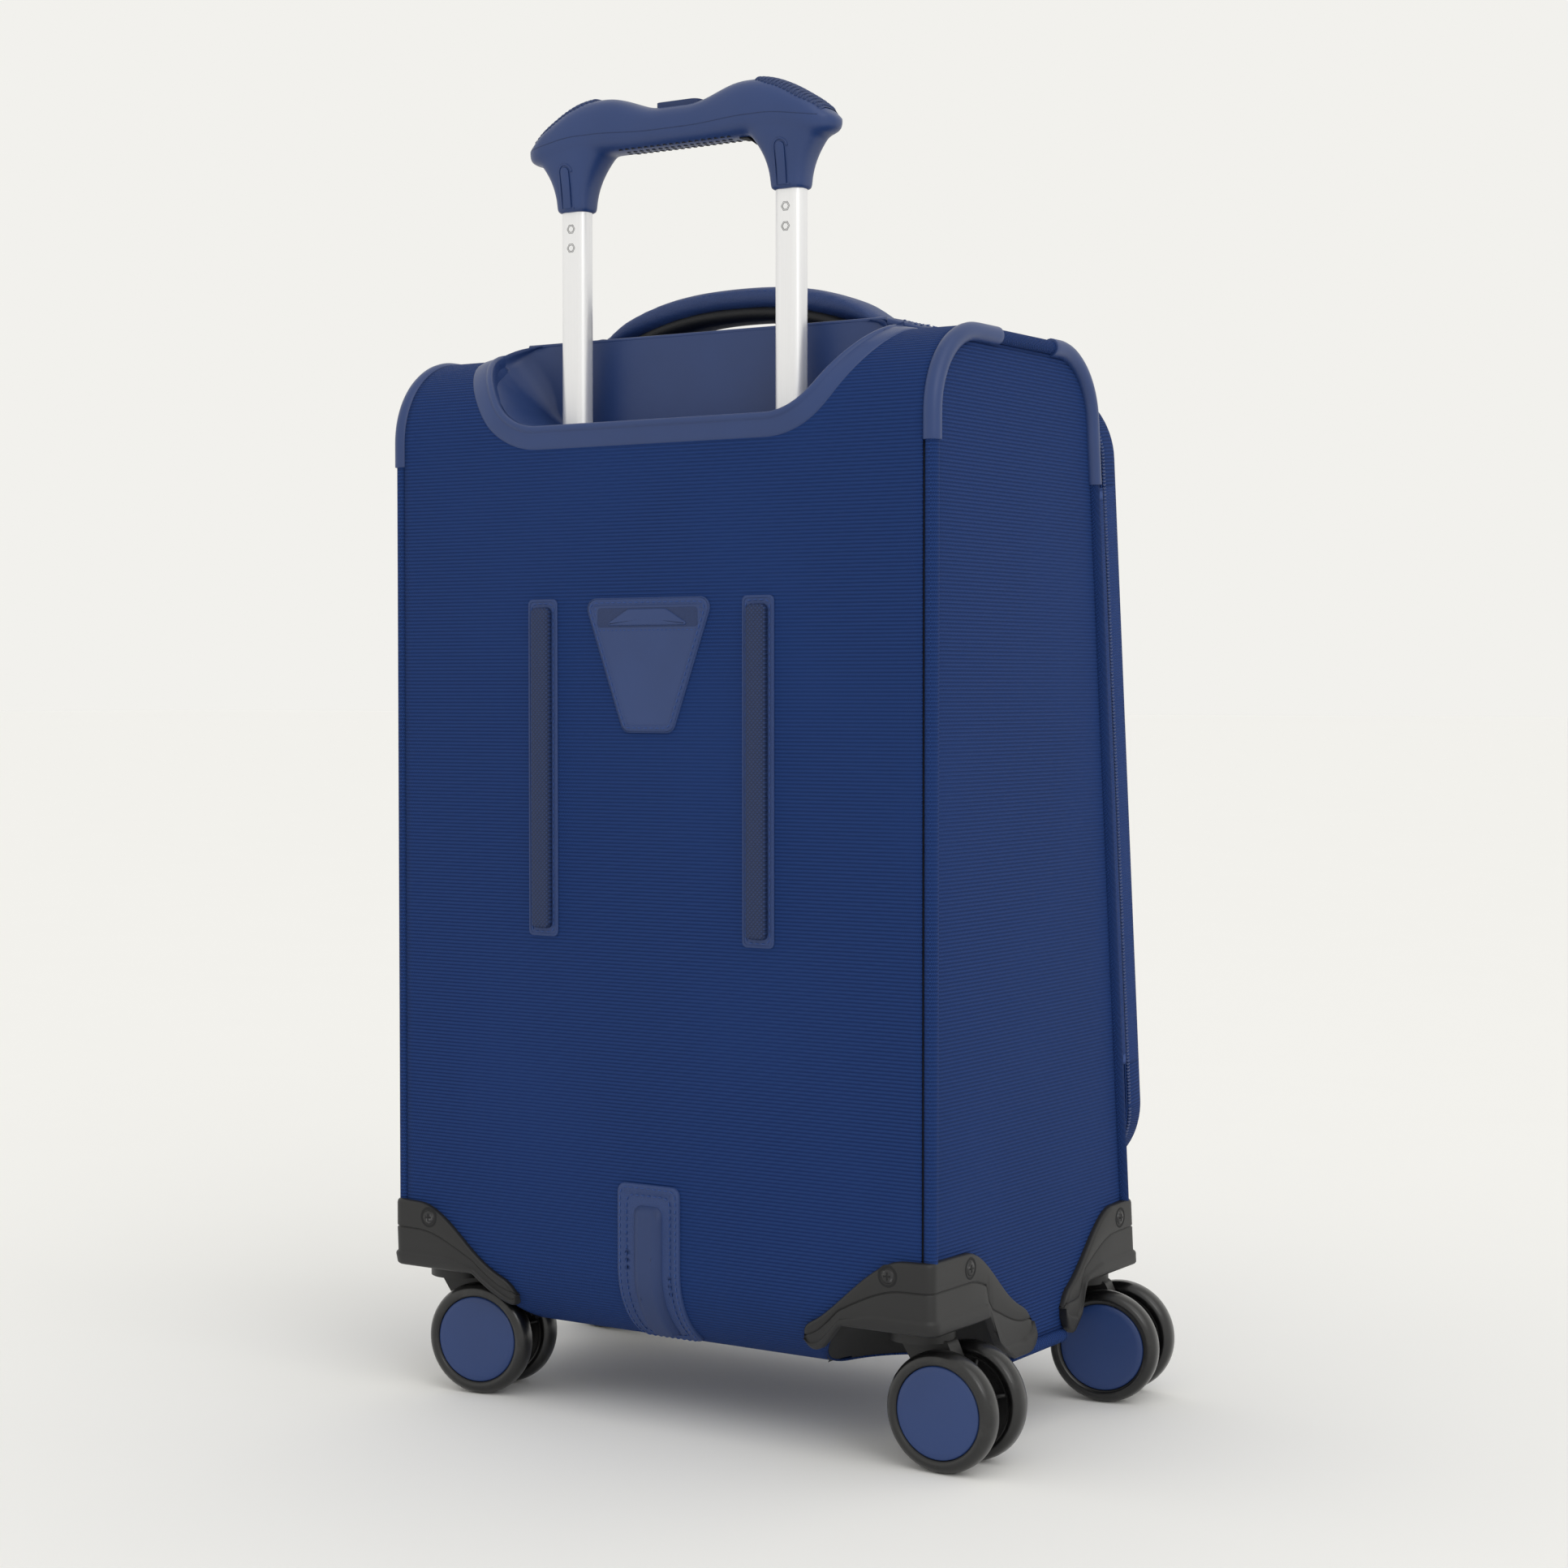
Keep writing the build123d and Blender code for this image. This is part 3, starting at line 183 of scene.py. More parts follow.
def outline_corners(inset):
    """The side view's four corners (depth, height) and radii, in the order of the wrap's path."""
    low, high = BOTTOM + inset, TOP - inset
    slant = inset / cos(TILT)
    places = [(front_depth(low) - slant, low), (inset, low), (inset, high), (front_depth(high) - slant, high)]
    radii = [r - inset for r in CORNER_RADII.values()]
    return places, radii


def outline(inset, closed=True, low_end=0.0, high_end=0.0):
    """The case's side view as points (0, y, z); open outlines start and end on the front plane."""
    places, radii = outline_corners(inset)
    slant = inset / cos(TILT)
    if not closed:
        places = [(front_depth(low_end) - slant, low_end)] + places
        places.append((front_depth(high_end) - slant, high_end))
        radii = [0] + radii + [0]
    return rounded_path([(0, BACK - d, z) for d, z in places], radii, 0.003, closed)


WRAP = Track(outline(0, False, 0.1, 0.56))


def wrap_frame(s):
    """Point and outward direction of the wrap band at a distance along it, at X 0."""
    along = WRAP.along(s)
    return WRAP.at(s), Vector((0, along.z, -along.y))


def mark_of(test):
    """Distance along the wrap of the first sample that passes a test on its point."""
    s = 0.0
    while s < WRAP.length and not test(WRAP.at(s)):
        s += 0.0005
    return s


BACK_MARK = mark_of(lambda p: p.y > BACK - 1e-7)             # the back panel starts to be flat here
BACK_ORIGIN = BACK_MARK - (BOTTOM + CORNER_RADII["rear_low"])   # on the back: mark = BACK_ORIGIN + z
ARC_MARK = BACK_ORIGIN + TOP - CORNER_RADII["rear_top"]
TOP_MARK = ARC_MARK + CORNER_RADII["rear_top"] * pi / 2    # the top panel starts here, depth rear_top


def mark_for(depth, z):
    """Distance along the wrap of a place on the back panel, its top arc or the top panel."""
    radius = CORNER_RADII["rear_top"]
    if z <= TOP - radius:
        return BACK_ORIGIN + z
    if depth < radius:
        return ARC_MARK + radius * asin(min(1.0, (z - TOP + radius) / radius))
    return TOP_MARK + depth - radius


def on_wrap(x, s, height=0.0):
    """A point of the wrap band, raised above the fabric."""
    p, out = wrap_frame(s)
    return Vector((x, p.y, p.z)) + out * (height + crown(x, p))


def crown(x, p):
    """How far the top panel's fabric stands up between its pipings."""
    depth = BACK - p.y
    between = smooth(depth, 0.052, 0.08) * (1 - smooth(depth, 0.125, 0.165))
    on_top = smooth(p.z, TOP - 0.004, TOP - 0.001) * between
    return 0.006 * on_top * (1 - (x / WRAP_HALF) ** 2)


# meshes
class Piece:
    """Gathers vertices, faces and their flat coordinates, then makes one object."""

    def __init__(self, name):
        self.name = name
        self.verts = []
        self.faces = []
        self.uvs = []

    def grid(self, rows, keep=None, uv=None, close=False):
        """Adds rows of points as a surface. keep(i, j) picks cells and uv(i, j) gives flat coordinates."""
        base = len(self.verts)
        wide = len(rows[0])
        for row in rows:
            self.verts += [tuple(p) for p in row]
        if uv is None:
            across = np.array([[tuple(p) for p in row] for row in rows])
            u = np.concatenate([np.zeros((len(rows), 1)),
                                np.cumsum(np.linalg.norm(np.diff(across, axis=1), axis=2), 1)], 1)
            v = np.concatenate([np.zeros((1, wide)),
                                np.cumsum(np.linalg.norm(np.diff(across, axis=0), axis=2), 0)], 0)
            uv = lambda i, j: (u[i][min(j, wide - 1)] if j < wide else u[i][-1] + 0.001, v[i][j % wide])
        for i in range(len(rows) - 1):
            for j in range(wide if close else wide - 1):
                if keep and not keep(i, j):
                    continue
                k = (j + 1) % wide
                self.faces.append((base + i * wide + j, base + i * wide + k,
                                   base + (i + 1) * wide + k, base + (i + 1) * wide + j))
                self.uvs.append((uv(i, j), uv(i, j + 1), uv(i + 1, j + 1), uv(i + 1, j)))
        return base

    def fan(self, ring, centre=None):
        """Closes a ring of points with a fan of triangles."""
        middle = centre or sum((Vector(p) for p in ring), Vector()) / len(ring)
        base = len(self.verts)
        self.verts += [tuple(p) for p in ring] + [tuple(middle)]
        for j in range(len(ring)):
            face = (base + j, base + (j + 1) % len(ring), base + len(ring))
            self.faces.append(face)
            self.uvs.append([(self.verts[k][0] + self.verts[k][1], self.verts[k][2]) for k in face])

    def sweep(self, path, section, up, closed=False, caps=True):
        """Carries a section, a list of (side, up) or a function of 0..1 giving one, along a path."""
        rows = []
        count = len(path)
        for i, p in enumerate(path):
            before = path[i - 1] if i or closed else p
            after = path[(i + 1) % count] if i < count - 1 or closed else p
            if closed and i == 0:
                before = path[-1]
            along = (Vector(after) - Vector(before)).normalized()
            high = up(i) if callable(up) else Vector(up)
            side = along.cross(high).normalized()
            high = side.cross(along)
            shape = section(i / (count - 1)) if callable(section) else section
            rows.append([Vector(p) + side * a + high * b for a, b in shape])
        if closed:
            rows.append(rows[0])
        self.grid(rows, close=True)
        if caps and not closed:
            self.fan(rows[0][::-1])
            self.fan(rows[-1])

    def lathe(self, profile, centre, axis, segments=48):
        """Turns (radius, distance along the axis) round an axis."""
        axis = Vector(axis).normalized()
        side = axis.orthogonal().normalized()
        other = axis.cross(side)
        rows = []
        for k in range(segments):
            a = 2 * pi * k / segments
            arm = side * cos(a) + other * sin(a)
            rows.append([Vector(centre) + arm * max(r, 1e-5) + axis * d for r, d in profile])
        rows.append(rows[0])
        self.grid(rows)

    def plate(self, ring, out, thick, bevel, base_out=0.0):
        """A plate from a ring of points, standing out from it, with a rounded outer edge."""
        out = Vector(out)
        centre = sum((Vector(p) for p in ring), Vector()) / len(ring)
        normals = ring_normals(ring, out)
        steps = [(0.0, base_out), (0.0, thick - bevel)]
        steps += [(bevel * (1 - cos(a)), thick - bevel * (1 - sin(a)))
                  for a in (radians(d) for d in (22, 45, 67, 90))]
        rows = [[Vector(p) - n * inset + out * rise for p, n in zip(ring, normals)] for inset, rise in steps]
        self.grid([[row[j] for row in rows] for j in range(len(ring))] + [[row[0] for row in rows]])
        self.fan(rows[-1], centre + out * thick)
        self.fan(rows[0][::-1], centre + out * base_out)

    def make(self, material, body, replaces=(), thick=0.0, bevel=0.0, subdivide=0, merge=0.00002):
        """Turns what was gathered into an object that rides on a body."""
        mesh = bpy.data.meshes.new(self.name)
        mesh.from_pydata(self.verts, [], self.faces)
        layer = mesh.uv_layers.new(name="flat")
        flat = np.array([c for face in self.uvs for c in face], np.float32)
        layer.data.foreach_set("uv", flat.ravel())
        work = bmesh.new()
        work.from_mesh(mesh)
        bmesh.ops.remove_doubles(work, verts=work.verts, dist=merge)
        loose = [v for v in work.verts if not v.link_faces]
        bmesh.ops.delete(work, geom=loose, context="VERTS")
        if not any(edge.is_boundary for edge in work.edges):
            bmesh.ops.recalc_face_normals(work, faces=work.faces)
        work.to_mesh(mesh)
        work.free()
        obj = bpy.data.objects.new(self.name, mesh)
        bpy.context.scene.collection.objects.link(obj)
        return dress(obj, material, body, replaces, thick, bevel, subdivide)


def ring_normals(ring, out):
    """Outward directions, in the ring's own plane, at each point of a closed ring."""
    points = [Vector(p) for p in ring]
    centre = sum(points, Vector()) / len(points)
    normals = []
    for i, p in enumerate(points):
        along = points[(i + 1) % len(points)] - points[i - 1]
        normal = along.cross(Vector(out)).normalized()
        normals.append(normal)
    outward = sum(n.dot(p - centre) for n, p in zip(normals, points))
    return normals if outward > 0 else [-n for n in normals]


def dress(obj, material, body, replaces=(), thick=0.0, bevel=0.0, subdivide=0):
    """Gives a mesh object its finish, modifiers and body."""
    mesh = obj.data
    mesh.materials.clear()
    mesh.materials.append(finish(material))
    mesh.shade_smooth()
    if thick:
        shell = obj.modifiers.new("thickness", "SOLIDIFY")
        shell.thickness = abs(thick)
        shell.offset = -1 if thick > 0 else 1
        shell.use_even_offset = True
    if bevel:
        edge = obj.modifiers.new("bevel", "BEVEL")
        edge.width = bevel
        edge.segments = 3
        edge.limit_method = "ANGLE"
        edge.angle_limit = radians(38)
    if subdivide:
        extra = obj.modifiers.new("subdivide", "SUBSURF")
        extra.levels = extra.render_levels = subdivide
    if body:
        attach(obj, body)
    if replaces:
        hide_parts(*replaces)
    return obj


def oval(side, up, count=16, power=2.0):
    """A closed section between an ellipse and a rounded box."""
    points = []
    for k in range(count):
        a = 2 * pi * k / count
        c, s = cos(a), sin(a)
        points.append((side * copysign(abs(c) ** (2 / power), c), up * copysign(abs(s) ** (2 / power), s)))
    return points


def stitches(piece, path, out, length=0.0026, gap=0.0012, radius=0.00032, lift=0.0001, closed=False):
    """Adds a row of thread stitches along a path to a piece; out is up, or a function of the distance."""
    track = Track(list(path) + ([path[0]] if closed else []))
    count = max(1, int(track.length / (length + gap)))
    pitch = track.length / count
    for k in range(count):
        s = (k + 0.5) * pitch
        high = (out(s) if callable(out) else Vector(out)).normalized()
        a, b = track.at(s - length / 2), track.at(s + length / 2)
        along = (b - a).normalized()
        side = along.cross(high).normalized()
        rows = []
        for t, swell in ((0.0, 0.15), (0.12, 0.75), (0.5, 1.0), (0.88, 0.75), (1.0, 0.15)):
            middle = a.lerp(b, t) + high * (lift + radius * (swell - 0.5))
            rows.append([middle + side * (radius * 1.15 * swell * cos(q)) + high * (radius * swell * sin(q))
                         for q in (pi * n / 3 for n in range(6))])
        piece.grid(rows, close=True)


def teeth(piece, track, facing, toward, start, stop, pitch=0.0017, size=0.0012):
    """Adds one side of a zipper's coil: a row of small rounded loops reaching toward the other side."""
    count = int((stop - start) / pitch)
    for k in range(count):
        s = start + (k + 0.5) * pitch
        p = track.at(s)
        face, reach = facing(s), toward(s)
        along = track.along(s)
        near, far = p - reach * (size * 1.25), p + reach * (size * 0.35)
        rows = []
        for t, swell in ((0.0, 0.35), (0.2, 0.9), (0.7, 1.0), (1.0, 0.45)):
            lift = 0.0004 + 0.0005 * sin(pi * (0.15 + 0.7 * t))
            middle = near.lerp(far, t) + face * lift + along * (t * 0.0005)
            rows.append([middle + along * (0.00055 * swell * cos(q)) + face * (0.0006 * swell * sin(q))
                         for q in (pi * n / 3 for n in range(6))])
        piece.grid(rows, close=True)
        piece.fan(rows[-1])


def inflate(obj, pressure, cap, voxel=0.005):
    """Puffs a closed fabric shape out with a short cloth simulation, no point moving more than cap."""
    remesh = obj.modifiers.new("remesh", "REMESH")
    remesh.mode = "VOXEL"
    remesh.voxel_size = voxel
    apply_modifiers(obj)
    rest = np.array([v.co for v in obj.data.vertices])
    bpy.context.view_layer.objects.active = obj
    cloth = obj.modifiers.new("cloth", "CLOTH")
    cloth.settings.quality = 5
    cloth.settings.mass = 0.3
    cloth.settings.tension_stiffness = 15
    cloth.settings.compression_stiffness = 15
    cloth.settings.bending_stiffness = 0.5
    cloth.settings.use_pressure = True
    cloth.settings.uniform_pressure_force = pressure
    cloth.settings.effector_weights.gravity = 0
    cloth.collision_settings.use_collision = False
    cloth.collision_settings.use_self_collision = False
    scene = bpy.context.scene
    for moment in range(1, 21):
        scene.frame_set(moment)
    puffed = obj.evaluated_get(bpy.context.evaluated_depsgraph_get()).data
    moved = np.array([v.co for v in puffed.vertices])
    obj.modifiers.remove(cloth)
    scene.frame_set(1)
    shift = moved - rest
    far = np.linalg.norm(shift, axis=1, keepdims=True)
    shift *= np.minimum(1.0, cap / np.maximum(far, 1e-9))
    obj.data.vertices.foreach_set("co", (rest + shift).astype(np.float32).ravel())
    obj.data.update()
    return obj


def apply_modifiers(obj):
    """Replaces an object's mesh by what its modifiers give."""
    shown = obj.evaluated_get(bpy.context.evaluated_depsgraph_get())
    mesh = bpy.data.meshes.new_from_object(shown)
    obj.modifiers.clear()
    obj.data = mesh


# shader building
class Value:
    """A node socket that takes part in arithmetic: an expression on values adds its Math nodes."""

    def __init__(self, shader, socket):
        self.shader = shader
        self.socket = socket

    def math(self, operation, *others):
        node = self.shader.node("ShaderNodeMath", {"operation": operation}, dict(enumerate((self,) + others)))
        return Value(self.shader, node.outputs[0])

    def __add__(self, other):
        return self.math("ADD", other)

    def __sub__(self, other):
        return self.math("SUBTRACT", other)

    def __mul__(self, other):
        return self.math("MULTIPLY", other)

    def __truediv__(self, other):
        return self.math("DIVIDE", other)

    def __rsub__(self, other):
        return self.shader.number(other).math("SUBTRACT", self)

    def __rtruediv__(self, other):
        return self.shader.number(other).math("DIVIDE", self)

    __radd__ = __add__
    __rmul__ = __mul__

    def wave(self, turns=1.0):
        """0 to 1 and back, this many times a unit."""
        return (self * (2 * pi * turns)).math("COSINE") * 0.5 + 0.5

    def fraction(self):
        return self.math("FRACT")

    def whole(self):
        return self.math("FLOOR")

    def least(self, other):
        return self.math("MINIMUM", other)

    def between(self, low, high):
        """0 below low, 1 above high."""
        return Value(self.shader, self.shader.node("ShaderNodeMapRange", {"interpolation_type": "SMOOTHSTEP"},
                                                   {"Value": self, "From Min": low,
                                                    "From Max": high}).outputs[0])


class Shader:
    """Builds one material's nodes."""

    def __init__(self, name):
        self.material = bpy.data.materials.new(name)
        self.material.use_nodes = True
        self.tree = self.material.node_tree
        self.tree.nodes.clear()

    def node(self, kind, settings=None, inputs=None):
        """Adds a node: its settings are set first, then its sockets' values or links."""
        node = self.tree.nodes.new(kind)
        for key, value in (settings or {}).items():
            setattr(node, key, value)
        for key, value in (inputs or {}).items():
            if isinstance(value, Value):
                self.tree.links.new(value.socket, node.inputs[key])
            else:
                node.inputs[key].default_value = value
        return node

    def number(self, value):
        return Value(self, self.node("ShaderNodeMath", {"operation": "ADD"}, {0: value, 1: 0.0}).outputs[0])

    def flat(self):
        """The piece's own flat coordinates, in metres, as two values."""
        uv = self.node("ShaderNodeTexCoord").outputs["UV"]
        parts = self.node("ShaderNodeSeparateXYZ", None, {0: Value(self, uv)})
        return Value(self, parts.outputs[0]), Value(self, parts.outputs[1])

    def place(self):
        """The point in the suitcase's frame, as a vector and three values."""
        point = Value(self, self.node("ShaderNodeTexCoord").outputs["Object"])
        parts = self.node("ShaderNodeSeparateXYZ", None, {0: point})
        return point, *(Value(self, parts.outputs[k]) for k in range(3))

    def noise(self, point, scale, detail=3.0, rough=0.55):
        node = self.node("ShaderNodeTexNoise", None,
                         {"Vector": point, "Scale": scale, "Detail": detail, "Roughness": rough})
        return Value(self, node.outputs[0])

    def cells(self, point, scale):
        node = self.node("ShaderNodeTexVoronoi", None, {"Vector": point, "Scale": scale})
        return Value(self, node.outputs["Distance"])

    def mix(self, a, b, factor):
        """Colour a turning into colour b."""
        node = self.node("ShaderNodeMix", {"data_type": "RGBA"}, {0: factor, 6: a, 7: b})
        return Value(self, node.outputs[2])

    def finish(self, color, roughness, height=None, relief=0.0003, specular=0.5, **constants):
        """The surface itself; constants are set on the shader's own sockets."""
        inputs = {"Base Color": color, "Roughness": roughness, "Specular IOR Level": specular}
        inputs.update(constants)
        if height is not None:
            bump = self.node("ShaderNodeBump", None, {"Strength": 1.0, "Distance": relief, "Height": height})
            inputs["Normal"] = Value(self, bump.outputs[0])
        surface = self.node("ShaderNodeBsdfPrincipled", None, inputs)
        out = self.node("ShaderNodeOutputMaterial")
        self.tree.links.new(surface.outputs[0], out.inputs[0])
        return self.material


def shade(color, factor):
    """A colour made darker or lighter."""
    return tuple(min(1.0, c * factor) for c in color[:3]) + (1.0,)


def linear(red, green, blue):
    """A colour given in the usual 0 to 255, as light."""
    parts = (red / 255, green / 255, blue / 255)
    return tuple(c / 12.92 if c < 0.04045 else ((c + 0.055) / 1.055) ** 2.4 for c in parts)


# what a user would change
def colour(name, description, red, green, blue):
    """A colour the user may change."""
    return bpy.props.FloatVectorProperty(name=name, description=description, subtype="COLOR", size=3,
                                         default=linear(red, green, blue), min=0, max=1)


def distance(name, description, default, low, high):
    """A length the user may change."""
    return bpy.props.FloatProperty(name=name, description=description, default=default, min=low, max=high,
                                   subtype="DISTANCE", unit="LENGTH", precision=4)


class SuitcaseSettings(bpy.types.PropertyGroup):
    """Sizes and colours of the suitcase's finishes."""

    fabric: colour("Fabric", "Colour of the ribbed nylon", 34, 65, 128)
    vinyl: colour("Vinyl", "Colour of the pads, sleeves and patches", 38, 62, 114)
    moulding: colour("Moulding", "Colour of the bezel, grip and wheel discs", 37, 60, 110)
    black: colour("Black plastic", "Colour of the guards and forks", 28, 28, 29)
    tyre: colour("Tyre", "Colour of the wheels' treads", 10, 10, 11)
    lining: colour("Lining", "Colour of the inside", 96, 101, 112)
    thread: colour("Thread", "Colour of the stitching", 52, 80, 142)
    rib: distance("Rib pitch", "From one rib of the nylon to the next", 0.002, 0.0005, 0.01)
    yarn: distance("Yarn pitch", "From one yarn of a rib to the next", 0.0011, 0.0003, 0.01)
    tooth: distance("Coil pitch", "From one loop of the zippers' coil to the next", 0.0019, 0.001, 0.01)
    puff: distance("Pocket swell", "Furthest that the padding pushes the pockets out", 0.004, 0.0, 0.02)
    pressure: bpy.props.FloatProperty(
        name="Padding pressure", description="Push of the padding in the fabric simulation", default=4.0,
        min=0.0, max=20.0)
    lens: bpy.props.FloatProperty(
        name="Lens", description="Focal length of the camera in millimetres", default=66.43, min=20, max=200)
    lamp: bpy.props.FloatProperty(
        name="Lamp power", description="Power of the softbox beside the camera", default=5.0,
        min=0, max=500, unit="POWER")
    daylight: bpy.props.FloatProperty(
        name="Daylight", description="Strength of the soft light from above", default=0.45, min=0, max=10)


def settings():
    return bpy.context.scene.suitcase


# finishes
MADE = {}


def finish(name):
    """A finish by name, made the first time it is asked for."""
    if name not in MADE:
        MADE[name] = FINISHES[name](Shader(name))
    return MADE[name]


def ribbed(shader, color, rib_scale=1.0):
    """Nylon woven in ribs along the piece's length, with its yarns showing as rows of dots."""
    s = settings()
    u, v = shader.flat()
    point = shader.place()[0]
    rib = s.rib * rib_scale
    slub = shader.noise(point, 900.0, 2.0)
    patchy = shader.noise(point, 9.0, 2.0)
    row = v / rib
    across = u / s.yarn + (row.whole() * 0.5).fraction() + slub * 0.12
    ridge = row.wave().between(0.05, 0.85)
    yarn = across.wave().between(0.0, 0.8)
    height = ridge * (yarn * 0.45 + 0.55) + slub * 0.12
    light = ridge * yarn
    grain = shader.noise(point, 2600.0, 1.0)
    color = color + (1.0,)
    # painted highlight on the rib crests and yarn tops, painted shade in the grooves between them; grain and
    # patchy add random tone
    weave = shader.mix(shade(color, 0.42), shade(color, 1.18), light * 0.78 + grain * 0.25)
    weave = shader.mix(weave, shade(color, 0.8), patchy.between(0.42, 0.75) * 0.35)
    return shader.finish(weave, 0.78 - light * 0.14, height, 0.00055, specular=0.14)


def nylon(shader):
    return ribbed(shader, tuple(settings().fabric))


def pad_nylon(shader):
    """The same nylon on puffed pieces: its ribs follow the lid's own height instead of a flat pattern."""
    s = settings()
    point, x, _, z = shader.place()
    slub = shader.noise(point, 900.0, 2.0)
    row = z / (s.rib * cos(TILT))
    across = x / s.yarn + (row.whole() * 0.5).fraction() + slub * 0.25
    ridge = row.wave().between(0.05, 0.85)
    yarn = across.wave().between(0.0, 0.8)
    color = tuple(s.fabric) + (1.0,)
    light = ridge * yarn
    grain = shader.noise(point, 2600.0, 1.0)
    # painted highlight on the rib crests and yarn tops, painted shade in the grooves between them; the noises
    # add random tone
    weave = shader.mix(shade(color, 0.42), shade(color, 1.18), light * 0.78 + grain * 0.25)
    weave = shader.mix(weave, shade(color, 0.8), shader.noise(point, 9.0, 2.0).between(0.42, 0.75) * 0.35)
    return shader.finish(weave, 0.78 - light * 0.14, ridge * (yarn * 0.45 + 0.55) + slub * 0.12, 0.00055,
                         specular=0.14)


def fine_nylon(shader):
    """Close plain weave of the bands beside the zippers."""
    u, v = shader.flat()
    point = shader.place()[0]
    color = shade(tuple(settings().fabric) + (1.0,), 1.12)
    warp = (u / 0.0007).wave()
    weft = (v / 0.0007).wave()
    weave = warp * weft + (1.0 - warp) * (1.0 - weft)
    # raised crossings of the weave painted lighter, the hollows darker: painted highlight and painted shade; the
    # noise adds random tone
    tint = shader.mix(shade(color, 0.72), shade(color, 1.1), weave * 0.7 + shader.noise(point, 1500.0) * 0.3)
    return shader.finish(tint, 0.72 - weave * 0.1, weave, 0.0002, specular=0.2)


def leather(shader, color, grain=1500.0, rough=0.46, relief=0.00016):
    """Vinyl with a small pebble grain, rubbed smoother on its high spots, which are painted lighter than the
    hollows: painted highlight on the pebbles, painted shade between them.
    """
    point = shader.place()[0]
    pebbles = shader.cells(point, grain)
    broad = shader.noise(point, 26.0, 3.0)
    fine = shader.noise(point, grain * 1.8, 2.0)
    raised = (1.0 - pebbles) * 0.8 + fine * 0.25
    color = tuple(color) + (1.0,)
    # pebble tops painted lighter, hollows darker: painted highlight and painted shade; broad adds random tone
    tint = shader.mix(shade(color, 0.84), shade(color, 1.08), raised.between(0.25, 0.95))
    tint = shader.mix(tint, shade(color, 0.9), broad.between(0.4, 0.8) * 0.4)
    gloss = (rough + 0.08) - raised * 0.1 + broad * 0.05
    return shader.finish(tint, gloss, raised, relief, specular=0.42)


def vinyl(shader):
    return leather(shader, settings().vinyl)


def vinyl_dark(shader):
    return leather(shader, shade(tuple(settings().vinyl) + (1,), 0.66)[:3], rough=0.5)


def vinyl_black(shader):
    return leather(shader, linear(24, 25, 28), rough=0.5)


def moulded(shader, color, rough=0.4, grain=2200.0, relief=0.00006):
    """Injection-moulded plastic with a fine spark-eroded texture and faint flow marks."""
    point = shader.place()[0]
    texture = shader.noise(point, grain, 3.0, 0.7)
    flow = shader.noise(point, 14.0, 3.0)
    rub = shader.noise(point, 130.0, 5.0, 0.7).between(0.62, 0.8)
    color = tuple(color) + (1.0,)
    tint = shader.mix(shade(color, 0.92), shade(color, 1.05), flow.between(0.3, 0.7))
    tint = shader.mix(tint, shade(color, 1.16), rub * 0.22)
    return shader.finish(tint, rough + texture * 0.1 - rub * 0.06, texture, relief, specular=0.45)


def blue_plastic(shader):
    return moulded(shader, settings().moulding, 0.34)


def disc_plastic(shader):
    return moulded(shader, settings().moulding, 0.3, 1400.0, 0.00003)


def black_plastic(shader):
    return moulded(shader, settings().black, 0.42)


# near-black put in the grip's dimples and slot and in the screws' slots and rings: painted shade in hollows
def painted_recess_shade(shader):
    return moulded(shader, linear(16, 17, 20), 0.7)


def soft_rubber(shader):
    """Soft ribbed rubber of the strips and grip pads."""
    return moulded(shader, shade(tuple(settings().moulding) + (1,), 0.8)[:3], 0.5, 2600.0, 0.0001)


def diamond_rubber(shader):
    """Rubber rail with a small crossed pattern pressed into it."""
    point, x, _, z = shader.place()
    a = ((x + z) / 0.0024).wave()
    b = ((x - z) / 0.0024).wave()
    knurl = a.least(b)
    color = shade(tuple(settings().moulding) + (1,), 0.74)
    # the knurl's grooves painted darker and its tops lighter: painted shade and painted highlight
    tint = shader.mix(shade(color, 0.62), shade(color, 1.12), knurl.between(0.05, 0.6))
    fine = shader.noise(point, 2400.0, 2.0)
    return shader.finish(tint, 0.5 + fine * 0.1, knurl.between(0.0, 0.5) + fine * 0.1, 0.0004, specular=0.4)


def bright_tube(shader):
    """Clear anodised aluminium, drawn lengthways, with faint slide marks."""
    point, x, y, z = shader.place()
    drawn = shader.node("ShaderNodeCombineXYZ", None, {0: x * 2600.0, 1: y * 2600.0, 2: z * 14.0})
    lines = shader.noise(Value(shader, drawn.outputs[0]), 1.0, 3.0)
    rub = shader.noise(point, 40.0, 4.0).between(0.55, 0.8)
    tint = shader.mix((0.83, 0.83, 0.84, 1), (0.94, 0.94, 0.95, 1), lines)
    return shader.finish(tint, 0.3 + lines * 0.1 + rub * 0.06, lines, 0.00003,
                         **{"Metallic": 0.55, "Specular IOR Level": 0.6})


def zinc(shader):
    """Die-cast zinc with a polished dark plating."""
    point = shader.place()[0]
    cast = shader.noise(point, 700.0, 4.0)
    worn = shader.noise(point, 160.0, 5.0, 0.7).between(0.6, 0.75)
    tint = shader.mix((0.23, 0.235, 0.25, 1), (0.42, 0.425, 0.44, 1), worn)
    return shader.finish(tint, 0.26 + cast * 0.12, cast, 0.00005, **{"Metallic": 1.0})


def dark_metal(shader):
    """Blackened steel of screws, rods and axles."""
    point = shader.place()[0]
    cast = shader.noise(point, 900.0, 4.0)
    worn = shader.noise(point, 300.0, 4.0).between(0.55, 0.75)
    tint = shader.mix((0.05, 0.05, 0.052, 1), (0.14, 0.14, 0.145, 1), worn)
    return shader.finish(tint, 0.34 + cast * 0.12, cast, 0.00005, **{"Metallic": 0.9})


